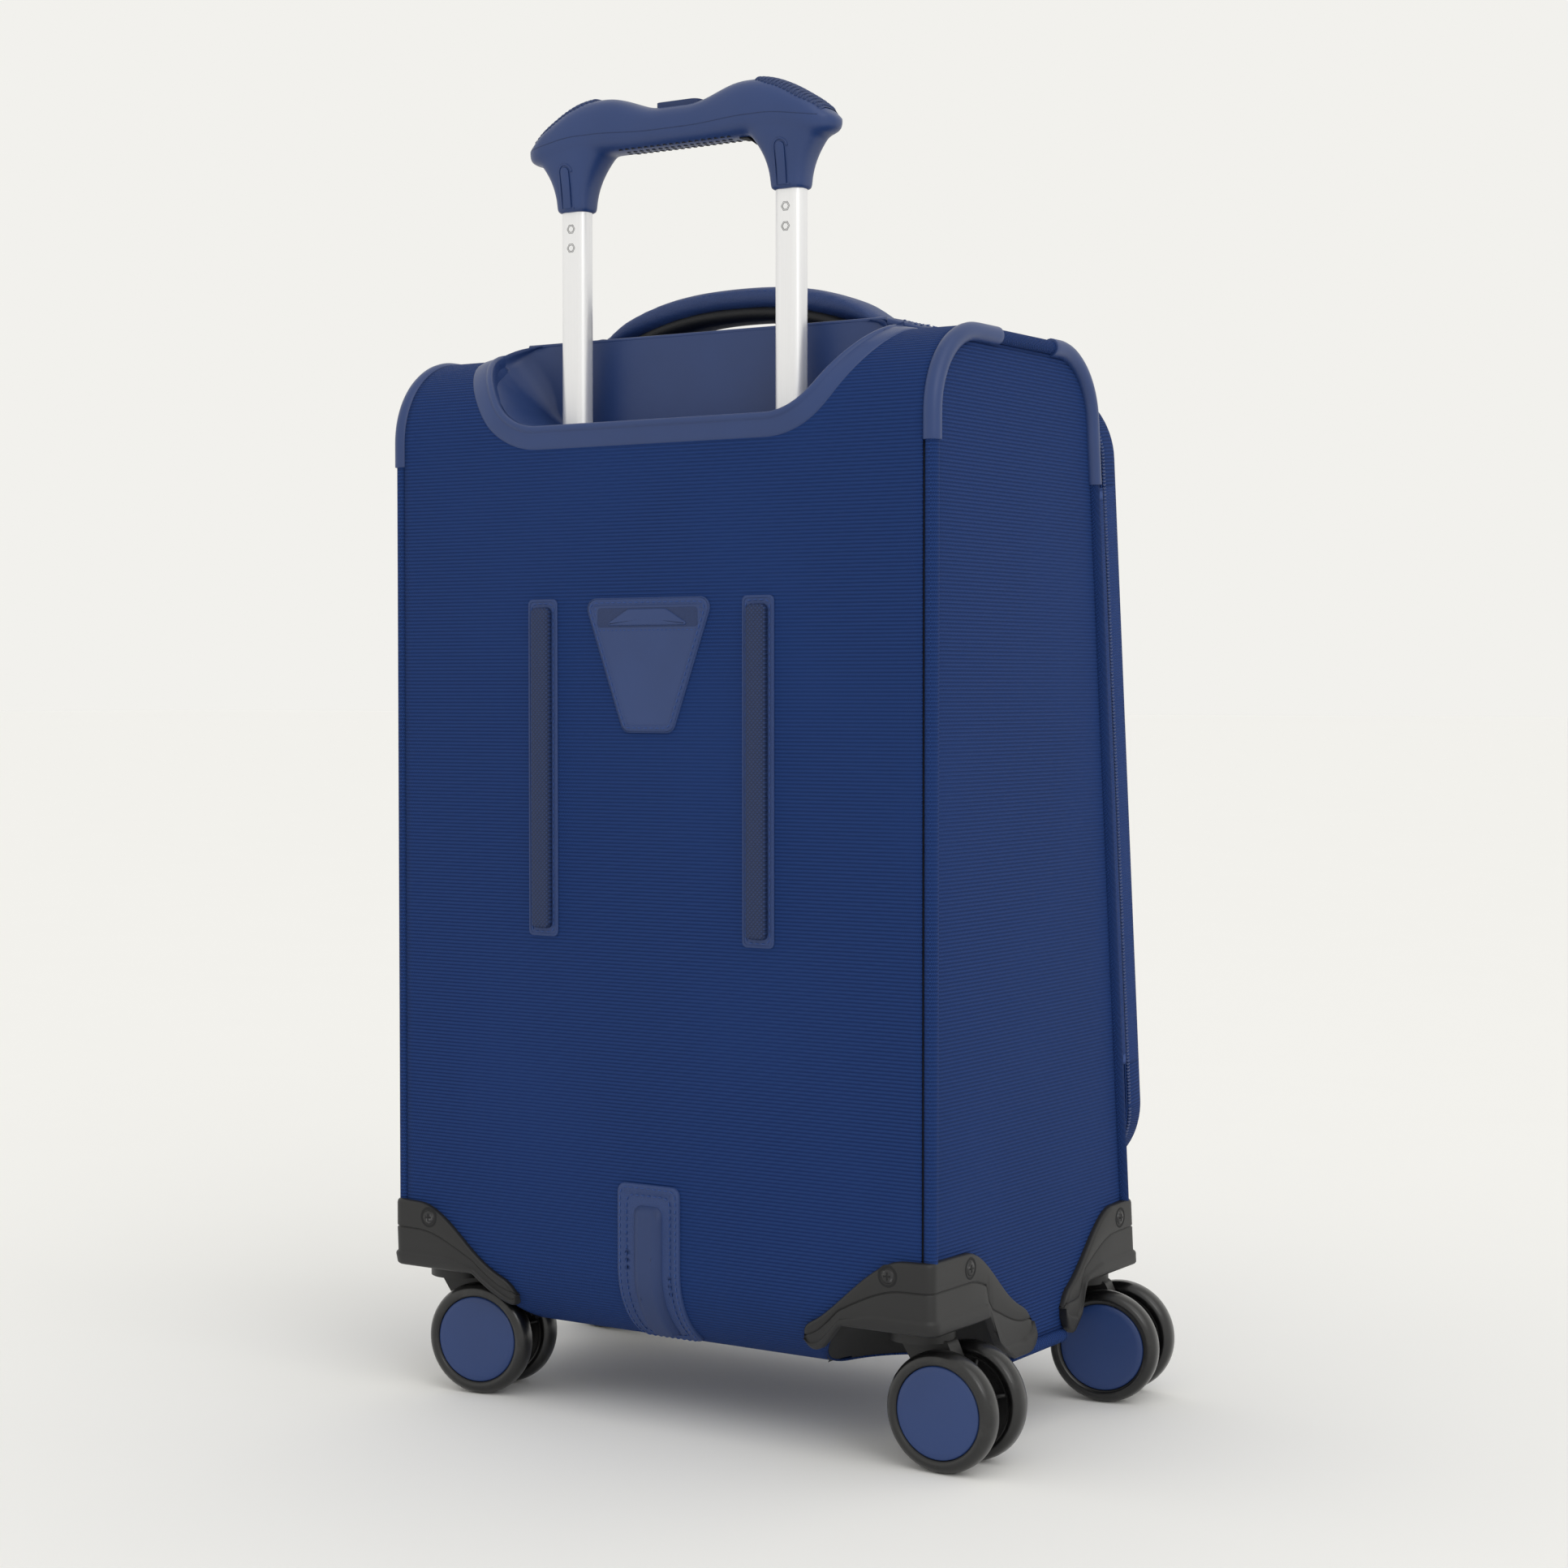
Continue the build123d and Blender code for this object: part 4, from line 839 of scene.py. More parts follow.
def tyre_rubber(shader):
    """Glossy cast polyurethane with fine turning marks round the tread."""
    point = shader.place()[0]
    marks = shader.noise(point, 1100.0, 3.0, 0.6)
    dust = shader.noise(point, 60.0, 5.0, 0.7)
    color = tuple(settings().tyre) + (1.0,)
    tint = shader.mix(color, (0.05, 0.049, 0.047, 1), dust.between(0.5, 0.8) * 0.35)
    return shader.finish(tint, 0.2 + dust * 0.16 + marks * 0.05, marks, 0.00004,
                         **{"Coat Weight": 0.3, "Coat Roughness": 0.15, "Specular IOR Level": 0.5})


def zip_tape(shader):
    """Herringbone tape that carries the zippers' coils."""
    u, v = shader.flat()
    point = shader.place()[0]
    bone = ((u + v) / 0.0011).wave() * ((v / 0.0016).wave()).between(0.3, 0.7)
    other = ((u - v) / 0.0011).wave() * (1.0 - ((v / 0.0016).wave()).between(0.3, 0.7))
    weave = bone + other
    color = shade(tuple(settings().fabric) + (1,), 0.95)
    # the raised yarns of the herringbone painted lighter, the hollows darker: painted highlight and painted
    # shade
    tint = shader.mix(shade(color, 0.6), shade(color, 1.15), weave * 0.7 + shader.noise(point, 1300.0) * 0.3)
    return shader.finish(tint, 0.74, weave, 0.0002, specular=0.2)


def coil(shader):
    """Nylon monofilament of the zippers."""
    point = shader.place()[0]
    tone = shader.noise(point, 500.0)
    color = shade(tuple(settings().vinyl) + (1,), 0.95)
    tint = shader.mix(shade(color, 0.85), shade(color, 1.15), tone)
    return shader.finish(tint, 0.3 + tone * 0.12, tone, 0.00003, specular=0.5)


def webbing(shader):
    """Flat woven strap: chevrons across, seen as rows of small raised yarns."""
    u, v = shader.flat()
    point = shader.place()[0]
    lean = (u / 0.0044).wave() * 0.0022
    rows = ((v + lean) / 0.0015).wave()
    yarns = (u / 0.0011).wave()
    weave = rows * 0.7 + yarns * 0.3
    color = shade(tuple(settings().fabric) + (1,), 0.92)
    # the raised rows and yarns painted lighter, the hollows darker: painted highlight and painted shade
    tint = shader.mix(shade(color, 0.5), shade(color, 1.2), weave * 0.8 + shader.noise(point, 1600.0) * 0.2)
    return shader.finish(tint, 0.7 + shader.noise(point, 300.0) * 0.08, weave, 0.0004, specular=0.2)


def thread(shader):
    """Twisted polyester thread."""
    point = shader.place()[0]
    twist = shader.noise(point, 3200.0, 2.0)
    color = tuple(settings().thread) + (1.0,)
    tint = shader.mix(shade(color, 0.7), shade(color, 1.1), twist)
    return shader.finish(tint, 0.5 + twist * 0.12, twist, 0.00012, specular=0.3)


def lining_cloth(shader):
    """Light plain-woven lining with a faint satin stripe."""
    u, v = shader.flat()
    point = shader.place()[0]
    weave = (u / 0.0009).wave() * (v / 0.0009).wave()
    stripe = (u / 0.012).wave().between(0.86, 0.94)
    folds = shader.noise(point, 22.0, 3.0)
    color = tuple(settings().lining) + (1.0,)
    # raised yarns and the crowns of the folds painted lighter, their hollows darker: painted highlight and
    # painted shade
    tint = shader.mix(shade(color, 0.8), shade(color, 1.08), weave * 0.6 + folds * 0.4)
    tint = shader.mix(tint, shade(color, 1.2), stripe * 0.35)
    return shader.finish(tint, 0.6 - stripe * 0.1 + weave * 0.08, weave * 0.2 + folds, 0.0012, specular=0.2)


def board(shader):
    """Rough plastic board behind the fabric."""
    return moulded(shader, linear(46, 48, 54), 0.6, 500.0, 0.0002)


def studio_floor(shader):
    """Matt painted studio floor."""
    point = shader.place()[0]
    mottle = shader.noise(point, 6.0, 3.0)
    tint = shader.mix((0.89, 0.887, 0.876, 1), (0.9, 0.897, 0.886, 1), mottle)
    return shader.finish(tint, 0.86 + mottle * 0.06)


FINISHES = {
    "nylon": nylon, "pad_nylon": pad_nylon, "fine_nylon": fine_nylon, "vinyl": vinyl,
    "vinyl_dark": vinyl_dark,
    "vinyl_black": vinyl_black, "blue_plastic": blue_plastic, "disc_plastic": disc_plastic,
    "black_plastic": black_plastic, "painted_recess_shade": painted_recess_shade, "soft_rubber": soft_rubber,
    "diamond_rubber": diamond_rubber, "bright_tube": bright_tube, "zinc": zinc, "dark_metal": dark_metal,
    "tyre_rubber": tyre_rubber, "zip_tape": zip_tape, "coil": coil, "webbing": webbing, "thread": thread,
    "lining_cloth": lining_cloth, "board": board, "studio_floor": studio_floor,
}


def repaint(**nodes):
    """Gives frame nodes that keep their shape a finish."""
    for node, name in nodes.items():
        obj = bpy.data.objects[node]
        for slot in obj.material_slots:
            slot.material = finish(name)
        if not obj.material_slots:
            obj.data.materials.append(finish(name))


# where things lie
def well_radius(z):
    """Radius of a wheel housing at height z, about its caster's kingpin."""
    return WELL_RADIUS_LOW - (WELL_RADIUS_LOW - WELL_RADIUS_TOP) * (z - BOTTOM) / (WELL_TOP - BOTTOM)


def kingpin(corner):
    """Centre line of one caster's swivel."""
    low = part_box("fork_" + corner)[0]
    x = 0.154 if corner.endswith("left") else -0.154
    depth = 0.028 if corner.startswith("rear") else DEPTH_BOTTOM - 0.0265
    return Vector((x, BACK - depth, low.z))


KINGPINS = {corner: kingpin(corner) for corner in CASTERS}


def in_well(p, margin=0.0):
    """Whether a point is inside one of the wheel housings."""
    if p[2] > WELL_TOP + margin:
        return None
    for pin in KINGPINS.values():
        if hypot(p[0] - pin.x, p[1] - pin.y) < well_radius(p[2]) + margin:
            return pin
    return None


RIM_POINTS = [(0.143, 0.64), (0.143, TOP + 0.001), (0.1, TOP - 0.056),
              (-0.1, TOP - 0.056), (-0.143, TOP + 0.001), (-0.143, 0.64)]
RIM_LINE = rounded_path([(x, 0, z) for x, z in RIM_POINTS], [0, 0.03, 0.05, 0.05, 0.03, 0], 0.003)
RIM_WIDTH = 0.013
TRAY_DEPTH = 0.048


def rim_inset(x, z):
    """How far inside the bezel's outer edge a place on the back panel lies; negative outside it."""
    if z < TOP - 0.056 - 0.01 or abs(x) > 0.16:
        return -1.0
    best, inside = 1.0, 1.0
    for a, b in zip(RIM_LINE, RIM_LINE[1:]):
        span = b - a
        gap = Vector((x, 0, z)) - a
        t = min(1.0, max(0.0, gap.dot(span) / span.length_squared))
        away = gap - span * t
        if away.length < best:
            best = away.length
            inside = 1.0 if span.x * gap.z - span.z * gap.x < 0 else -1.0
    return best * inside


# operators
class SUITCASE_OT_case_fabric(bpy.types.Operator):
    """Wraps the case in ribbed nylon: back, top, bottom and the two side panels"""
    bl_idname = "suitcase.case_fabric"
    bl_label = "Case Fabric"

    def execute(self, context):
        self.wrap()
        self.sides()
        return {"FINISHED"}

    def wrap(self):
        piece = Piece("nylon_wrap")
        track = Track(outline(0.0003, False, 0.165, 0.525))
        rows_s = [track.length * k / round(track.length / 0.0045)
                  for k in range(round(track.length / 0.0045) + 1)]
        columns = [WRAP_HALF * (2 * k / 80 - 1) for k in range(81)]
        rows = []
        for s in rows_s:
            p = track.at(s)
            along = track.along(s)
            out = Vector((0, along.z, -along.y))
            rows.append([p + Vector((x, 0, 0)) + out * crown(x, p) for x in columns])
        kept = {}
        for i in range(len(rows) - 1):
            for j in range(len(columns) - 1):
                middle = sum((rows[i + a][j + b] for a in (0, 1) for b in (0, 1)), Vector()) / 4
                kept[i, j] = self.covered(middle)
        self.snap(rows, kept)
        piece.grid(rows, lambda i, j: kept[i, j], lambda i, j: (columns[j] + 0.2, rows_s[i]))
        piece.make("nylon", "case", ["case_cover"], thick=0.0011)

    def covered(self, p):
        """Whether the wrap has fabric at a point."""
        depth = BACK - p.y
        if in_well(p):
            return False
        if depth < 0.0495 and p.z > TOP - 0.06 and rim_inset(p.x, p.z if depth < 0.04 else TOP) > 0.006:
            return False
        if depth > 0.15 and p.z > 0.07:
            up = (p - lid_point(0, 0, 0)).dot(UP)
            return hypot(*past_corner(p.x, up)) > LID_CORNER - 0.008
        return True

    def snap(self, rows, kept):
        """Pulls the fabric's cut edge onto the round wheel housings."""
        for i in range(1, len(rows) - 1):
            for j in range(1, len(rows[0]) - 1):
                around = [kept.get((i + a, j + b)) for a in (-1, 0) for b in (-1, 0)]
                pin = in_well(rows[i][j], 0.0045)
                if not pin or all(around) or not any(around):
                    continue
                p = rows[i][j]
                gap = Vector((p.x - pin.x, p.y - pin.y))
                radius = well_radius(p.z)
                if p.z < BOTTOM + 0.004:
                    gap = gap.normalized() * radius
                elif radius > abs(gap.y):
                    gap.x = copysign(sqrt(radius ** 2 - gap.y ** 2), gap.x)
                if abs(pin.x + gap.x) < WRAP_HALF and abs(pin.x + gap.x - p.x) < 0.006:
                    rows[i][j] = Vector((pin.x + gap.x, pin.y + gap.y, p.z))

    def sides(self):
        for side, name in ((1, "nylon_side_left"), (-1, "nylon_side_right")):
            piece = Piece(name)
            ring = outline(SIDE_INSET - 0.0012)[:-1]
            centre = Vector((0, BACK - 0.1, 0.32))
            rows = []
            for k in range(31):
                t = 1 - (k / 30) ** 1.15
                puff = 0.0016 * (1 - t ** 3)
                rows.append([centre.lerp(p, t) + Vector((side * (SIDE_HALF + puff - 0.0003), 0, 0))
                             for p in ring])
            rows = [row + [row[0]] for row in rows]

            def keep(i, j):
                middle = (rows[i][j] + rows[i + 1][j + 1]) / 2
                return not in_well(middle, 0.003)

            piece.grid(rows, keep, lambda i, j: (rows[i][j].y + 0.5, rows[i][j].z))
            replaced = ["side_covers"] if side > 0 else []
            piece.make("nylon", "case", replaced, thick=0.001 * side)


class SUITCASE_OT_piping(bpy.types.Operator):
    """Runs the nylon piping round both side panels, with smooth sleeves over its upper corners"""
    bl_idname = "suitcase.piping"
    bl_label = "Piping"

    def execute(self, context):
        circle = oval(PIPE_RADIUS, PIPE_RADIUS, 14)
        sleeve = oval(PIPE_RADIUS + 0.0012, PIPE_RADIUS + 0.0012, 18)
        for side, label in ((1, "left"), (-1, "right")):
            x = side * (WRAP_HALF + PIPE_RADIUS)
            ring = [p + Vector((x, 0, 0)) for p in outline(0.00275)[:-1]]
            runs = self.runs(ring, self.bare)
            pipe = Piece("piping_" + label)
            for run in runs:
                pipe.sweep(run, circle, (1, 0, 0))
            pipe.make("nylon", "case", ["side_piping"] if side > 0 else [])
            cover = Piece("sleeve_" + label)
            for test in (self.rear, self.front):
                for run in self.runs(ring, test):
                    cover.sweep(run, sleeve, (1, 0, 0))
            cover.make("blue_plastic", "case", ["corner_sleeves"] if side > 0 else [],
                       bevel=0.0004)
            seam = Piece("piping_seam_" + label)
            for run in self.runs(outline(0)[:-1], self.seam_shown):
                track = Track(run)

                def facing(s, track=track):
                    along = track.along(s)
                    return Vector((0, along.z, -along.y))

                row = [p + Vector((x - side * (PIPE_RADIUS + 0.0016), 0, 0)) for p in run]
                stitches(seam, row, facing, 0.0022, 0.0012, 0.00028, 0.0003)
            seam.make("thread", "case")
        return {"FINISHED"}

    def bare(self, p):
        """Whether the piping shows here; behind the guards it is cut away."""
        pins = [q for q in KINGPINS.values() if q.x * p.x > 0]
        return p.z > 0.1 or all(hypot(p.x - q.x, p.y - q.y) > WELL_RADIUS_LOW + 0.003 for q in pins)

    def seam_shown(self, p):
        depth = BACK - p.y
        return not in_well(Vector((0.172, p.y, p.z)), 0.01) and depth < front_depth(p.z) - 0.004

    def rear(self, p):
        return p.z > TOP - 0.062 and BACK - p.y < 0.072

    def front(self, p):
        return BACK - p.y > DEPTH_TOP - 0.049 and p.z > TOP - 0.075

    def runs(self, ring, test):
        """The stretches of a closed ring whose points pass a test."""
        count = len(ring)
        shown = [test(p) for p in ring]
        if all(shown):
            return [ring + ring[:1]]
        first = next(i for i in range(count) if not shown[i - 1] and shown[i]) if any(shown) else 0
        runs, run = [], []
        for k in range(count + 1):
            i = (first + k) % count
            if shown[i] and k < count:
                run.append(ring[i])
            elif run:
                runs.append(run)
                run = []
        return [run for run in runs if len(run) > 2]


class SUITCASE_OT_bezel(bpy.types.Operator):
    """Moulds the bezel and the tray that the telescopic handle sinks into"""
    bl_idname = "suitcase.bezel"
    bl_label = "Handle Bezel"

    # across the rim: distance inside its outer edge, height over the fabric
    SECTION = [(-0.0002, -0.0012), (-0.0002, 0.0004), (0.0004, 0.0012), (0.0015, 0.0016), (0.0045, 0.0022),
               (0.0084, 0.0028), (0.009, 0.0027), (0.0094, 0.0029), (0.0098, 0.0035), (0.0106, 0.0039),
               (0.0118, 0.0039), (0.0126, 0.0034), (0.013, 0.0024), (0.013, -0.0025)]

    def execute(self, context):
        stations = self.stations()
        rim = Piece("bezel_rim")
        rows = [[self.rim_point(st, inset, height) for inset, height in self.SECTION] for st in stations]
        rim.grid(rows)
        self.inner_edge = Track([row[-1] for row in rows])
        for row, way in ((rows[0], 1), (rows[-1], -1)):
            rim.fan(row[::way])
        rim.make("blue_plastic", "case", ["handle_bezel"], bevel=0.0)
        self.tray()
        return {"FINISHED"}

    def stations(self):
        """Places along the rim's outer edge: x, distance round the wrap, inward direction across and along."""
        line = [p for p in RIM_LINE if p.z < TOP - 0.0008]
        track = Track(line)
        flat = []
        for p in track.even(0.003):
            flat.append((p.x, mark_for(self.arc_depth(p.z), p.z)))
        last = flat[-1]
        first = flat[0]
        reach = TOP_MARK + 0.0525 - CORNER_RADII["rear_top"]
        for k in range(1, 5):
            t = k / 4
            flat.append((last[0] + 0.0003 * t, last[1] + (reach - last[1]) * t))
            flat.insert(0, (first[0] + 0.0003 * t, first[1] + (reach - first[1]) * t))
        stations = []
        for i, (x, s) in enumerate(flat):
            a, b = flat[max(0, i - 1)], flat[min(len(flat) - 1, i + 1)]
            along = Vector((b[0] - a[0], b[1] - a[1])).normalized()
            inward = Vector((along.y, -along.x))
            if inward.dot(Vector((-x, TOP_MARK + 0.03 - s))) < 0:
                inward = -inward
            stations.append((x, s, inward))
        return stations

    def arc_depth(self, z):
        radius = CORNER_RADII["rear_top"]
        rise = max(0.0, z - (TOP - radius))
        return radius - sqrt(max(radius ** 2 - rise ** 2, 0.0))

    def rim_point(self, station, inset, height):
        x, s, inward = station
        tip = smooth(s, TOP_MARK + 0.0005, TOP_MARK + 0.0045)
        height = height * (1 - 0.55 * tip) if height > 0 else height
        inset = inset + (0.0065 - inset) * 0.5 * tip ** 2
        p, out = wrap_frame(s + inward.y * inset)
        return Vector((x + inward.x * inset, p.y, p.z)) + out * height

    def tray(self):
        tray = Piece("handle_well")
        line = self.inner_line()
        depths = 10
        half = len(line) // 2
        rows = []
        for p, n in line:
            turn = 0.002 + 0.022 * abs(n.x) ** 3 * smooth(p.z, TOP - 0.05, TOP - 0.012)
            start = -0.0008 if p.z < TOP - 0.047 else self.arc_depth(min(p.z, TOP)) + 0.0005
            row = []
            for k in range(25):
                depth = start + (TRAY_DEPTH - turn - start) * k / 24
                row.append(Vector((p.x, BACK - max(depth, start), p.z)))
            for k in range(1, depths + 1):
                a = pi / 2 * k / depths
                shift = turn * (1 - cos(a))
                depth = TRAY_DEPTH - turn + turn * sin(a)
                row.append(Vector((p.x + n.x * shift, BACK - depth, p.z + n.z * shift)))
            rows.append(row)
        low, high = TOP - 0.03, max(p.z for row in rows for p in row)
        for row in rows:
            for k, p in enumerate(row):
                crest = TOP + 0.0012 + 0.0074 * smooth(BACK - p.y, 0.026, TRAY_DEPTH - 0.001)
                if p.z > low:
                    p.z = low + (p.z - low) * (crest - low) / (high - low)
        tube_low, tube_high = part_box("middle_tubes")
        wide, deep = tube_high.x - TUBE_X + 0.0006, (tube_high.y - tube_low.y) / 2 + 0.0006

        def keep(i, j):
            p = (rows[i][j] + rows[i + 1][j + 1]) / 2
            clear = abs(abs(p.x) - TUBE_X) > wide + 0.0015 or abs(p.y - TUBE_Y) > deep + 0.001
            return clear or p.z > TOP - 0.03

        tray.grid(rows, keep)
        for side in (1, -1):
            corners = [(side * TUBE_X + a * (wide + 0.0022), TUBE_Y + b * (deep + 0.0022), TOP - 0.0424)
                       for a, b in ((-1, -1), (1, -1), (1, 1), (-1, 1))]
            tray.sweep(loop(corners, 0.005, 0.0012), oval(0.0022, 0.001, 10, 3), (0, 0, 1),
                       closed=True)
        start = Track([row[0] for row in rows])
        tray.grid([[edge.at(edge.length * k / 160) for edge in (self.inner_edge, start)] for k in range(161)])
        wall = []
        for i in range(half + 1):
            a, b = rows[i][-1], rows[len(rows) - 1 - i][-1]
            wall.append([a.lerp(b, k / 24) for k in range(25)])
        tray.grid(wall)
        lip = [Vector((0.1185 * (1 - 2 * k / 40), BACK - TRAY_DEPTH - 0.0012, TOP + 0.0078))
               for k in range(41)]
        tray.sweep(lip, oval(0.0014, 0.0012, 12), (0, 0, 1))
        outside = [[Vector((x.x, BACK - TRAY_DEPTH - 0.0025, z)) for x in lip]
                   for z in (TOP - 0.004, TOP + 0.0078)]
        tray.grid(outside)
        tray.make("blue_plastic", "case", ["handle_tray"])

    def inner_line(self):
        """The tray's opening as seen from behind, and the direction into it."""
        track = Track([p for p in RIM_LINE if p.z < TOP + 0.0086])
        line = []
        points = track.even(0.0028)
        for i, p in enumerate(points):
            a, b = points[max(0, i - 1)], points[min(len(points) - 1, i + 1)]
            along = (b - a).normalized()
            n = Vector((-along.z, 0, along.x))
            if n.dot(Vector((0, 0, 0.62)) - p) < 0:
                n = -n
            line.append((p + n * RIM_WIDTH, n))
        return line


class SUITCASE_OT_handle(bpy.types.Operator):
    """Shapes the telescopic handle's grip, its ribbed pads, button and pressed tube marks; the tube marks and
    the grip's dimples are near-black painted shade
    """
    bl_idname = "suitcase.handle"
    bl_label = "Telescopic Handle"

    def execute(self, context):
        repaint(inner_tubes="bright_tube", middle_tubes="bright_tube", outer_tubes="bright_tube",
                tube_foot="black_plastic", lock_pins="dark_metal", release_button="soft_rubber")
        self.grip()
        self.pads()
        self.details()
        self.marks()
        return {"FINISHED"}

    def grip(self):
        half, high, low = GRIP_HIGH.x, GRIP_HIGH.z, GRIP_LOW.z
        thick = (GRIP_HIGH.y - GRIP_LOW.y) / 2
        block = Piece("grip_body")
        rows = []
        for k in range(81):
            x = half * sin(pi / 2 * (2 * k / 80 - 1))
            a = abs(x)
            top = high - 0.0084 * (1 - smooth(a, 0.01, 0.046)) - 0.0215 * smooth(a, 0.05, 0.108) ** 1.25
            under = high - 0.0302 - 0.004 * smooth(a, 0.05, 0.1)
            end = sqrt(max(0.0, 1 - (max(0.0, a - half + 0.016) / 0.016) ** 2))
            middle = (top + under) / 2
            tall = (top - under) / 2 * max(end, 0.05)
            swell = (0.88 + 0.12 * smooth(a, 0.02, 0.05)) * (1 - 0.16 * smooth(a, 0.065, 0.1))
            deep = thick * swell * max(end, 0.05)
            rows.append([Vector((x, TUBE_Y + y, middle + z)) for y, z in oval(deep, tall, 40, 2.7)])
        block.grid(rows, close=True)
        block.fan(rows[0][::-1])
        block.fan(rows[-1])
        for side in (1, -1):
            rows = []
            for k in range(19):
                t = k / 18
                z = low + 0.036 * t
                wide = 0.0104 + 0.0185 * t ** 2.3
                deep = 0.0086 + 0.0058 * t ** 1.5
                rows.append([Vector((side * TUBE_X + u, TUBE_Y + v, z))
                             for u, v in oval(wide, deep, 40, 3.4)])
            block.grid(rows, close=True)
            block.fan(rows[0][::-1])
            block.fan(rows[-1])
        body = block.make("blue_plastic", None, ["grip"])
        remesh = body.modifiers.new("remesh", "REMESH")
        remesh.mode = "VOXEL"
        remesh.voxel_size = 0.0013
        soften = body.modifiers.new("soften", "SMOOTH")
        soften.factor = 0.5
        soften.iterations = 14
        apply_modifiers(body)
        dress(body, "blue_plastic", "handle_inner")
        mesh = body.data
        self.skin = BVHTree.FromPolygons([v.co.copy() for v in mesh.vertices],
                                         [tuple(f.vertices) for f in mesh.polygons])

    def touch(self, start, direction, lift=0.0):
        """The place where a line meets the grip's surface, raised a little from it."""
        start, direction = Vector(start), Vector(direction).normalized()
        place = self.skin.ray_cast(start, direction)[0] or self.skin.find_nearest(start)[0]
        return place - direction * lift

    def pads(self):
        piece = Piece("grip_ribs")
        base = Piece("grip_pad_bases")
        for side in (1, -1):
            for k in range(17):
                x = side * (0.0545 + 0.0024 * k)
                width = 0.0118 - 0.0034 * smooth(k, 11, 17) - 0.003 * smooth(k, 4, -1)
                path = []
                for n in range(11):
                    t = 2 * n / 10 - 1
                    spot = self.touch((x, TUBE_Y + width * t, 0.78), (0, 0, -1))
                    path.append(spot + Vector((0, 0, 0.0006 - 0.0009 * t ** 6)))
                piece.sweep(path, oval(0.00085, 0.0009, 8), (0, 0, 1))
            rows = []
            for k in range(25):
                x = side * (0.0535 + 0.0415 * k / 24)
                width = 0.0128 - 0.0036 * smooth(k, 16, 25) - 0.0034 * smooth(k, 6, -1)
                rows.append([self.touch((x, TUBE_Y + width * t, 0.78), (0, 0, -1))
                             + Vector((0, 0, 0.0005 * (1 - t ** 8)))
                             for t in np.linspace(-1, 1, 13)])
            base.grid(rows)
        piece.make("soft_rubber", "handle_inner", ["grip_pads"])
        base.make("soft_rubber", "handle_inner")

    def details(self):
        lines = Piece("grip_lines")
        for way in (1, -1):
            path = []
            for k in range(91):
                x = 0.094 * (2 * k / 90 - 1)
                dip = 0.0015 * (1 - smooth(abs(x), 0.01, 0.05)) + 0.004 * smooth(abs(x), 0.06, 0.1)
                z = GRIP_HIGH.z - 0.0205 - dip
                path.append(self.touch((x, TUBE_Y + way * 0.06, z), (0, -way, 0), 0.00002))
            lines.sweep(path, oval(0.00022, 0.00012, 8), (0, way, 0))
        lines.make("vinyl_dark", "handle_inner")
        tabs = Piece("grip_tabs")
        for side in (1, -1):
            for way in (1, -1):
                for inset, lift in ((0.0, 0.0), (0.0016, 0.0003)):
                    ring = [(-0.0042 + inset, -0.0135), (0.0042 - inset, -0.0135)]
                    ring += [((0.0042 - inset) * cos(a), 0.006 + (0.0042 - inset) * sin(a))
                             for a in (radians(15 * k) for k in range(13))]
                    path = [self.touch((side * TUBE_X + u, TUBE_Y + way * 0.06, GRIP_LOW.z + 0.0155 + v),
                                       (0, -way, 0), lift)
                            for u, v in ring]
                    if inset:
                        tabs.plate(path, (0, way, 0), 0.0006, 0.0004, -0.0004)
                    else:
                        tabs.sweep(path, oval(0.0006, 0.0006, 8), (0, way, 0))
        tabs.make("blue_plastic", "handle_inner")
        # the dimples and the slot are near-black: painted shade in their hollows
        dots = Piece("grip_dimples")
        for row in range(4):
            for k in range(19):
                x = (k - 9) * 0.0042 + (row % 2) * 0.0021
                if abs(x) < 0.037:
                    spot = self.touch((x, TUBE_Y + (row - 1.5) * 0.0045, 0.66), (0, 0, 1), 0.00003)
                    dots.lathe([(0.0, 0.0), (0.0009, 0.0), (0.0012, -0.00012), (0.0014, 0.0004)], spot,
                               (0, 0, 1), 12)
        slot = [self.touch((x, TUBE_Y, 0.66), (0, 0, 1), 0.0001) for x in (-0.052, -0.046, -0.041)]
        dots.sweep(slot, oval(0.005, 0.0005, 12, 4), (0, 0, 1))
        dots.make("painted_recess_shade", "handle_inner")

    def marks(self):
        # dark rings standing for the pressed grooves in the tubes: painted shade
        piece = Piece("tube_groove_shade")
        for side in (1, -1):
            for z in (0.657, 0.6465):
                centre = Vector((side * TUBE_X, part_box("inner_tubes")[1].y, z))
                for radius in (0.0026, 0.0019):
                    ring = [centre + Vector((radius * cos(a), 0, radius * sin(a)))
                            for a in (radians(60 * k) for k in range(6))]
                    ring.append(ring[0])
                    piece.sweep(ring, oval(0.00016, 0.0001, 6), (0, 1, 0), caps=False)
        piece.make("dark_metal", "handle_inner")


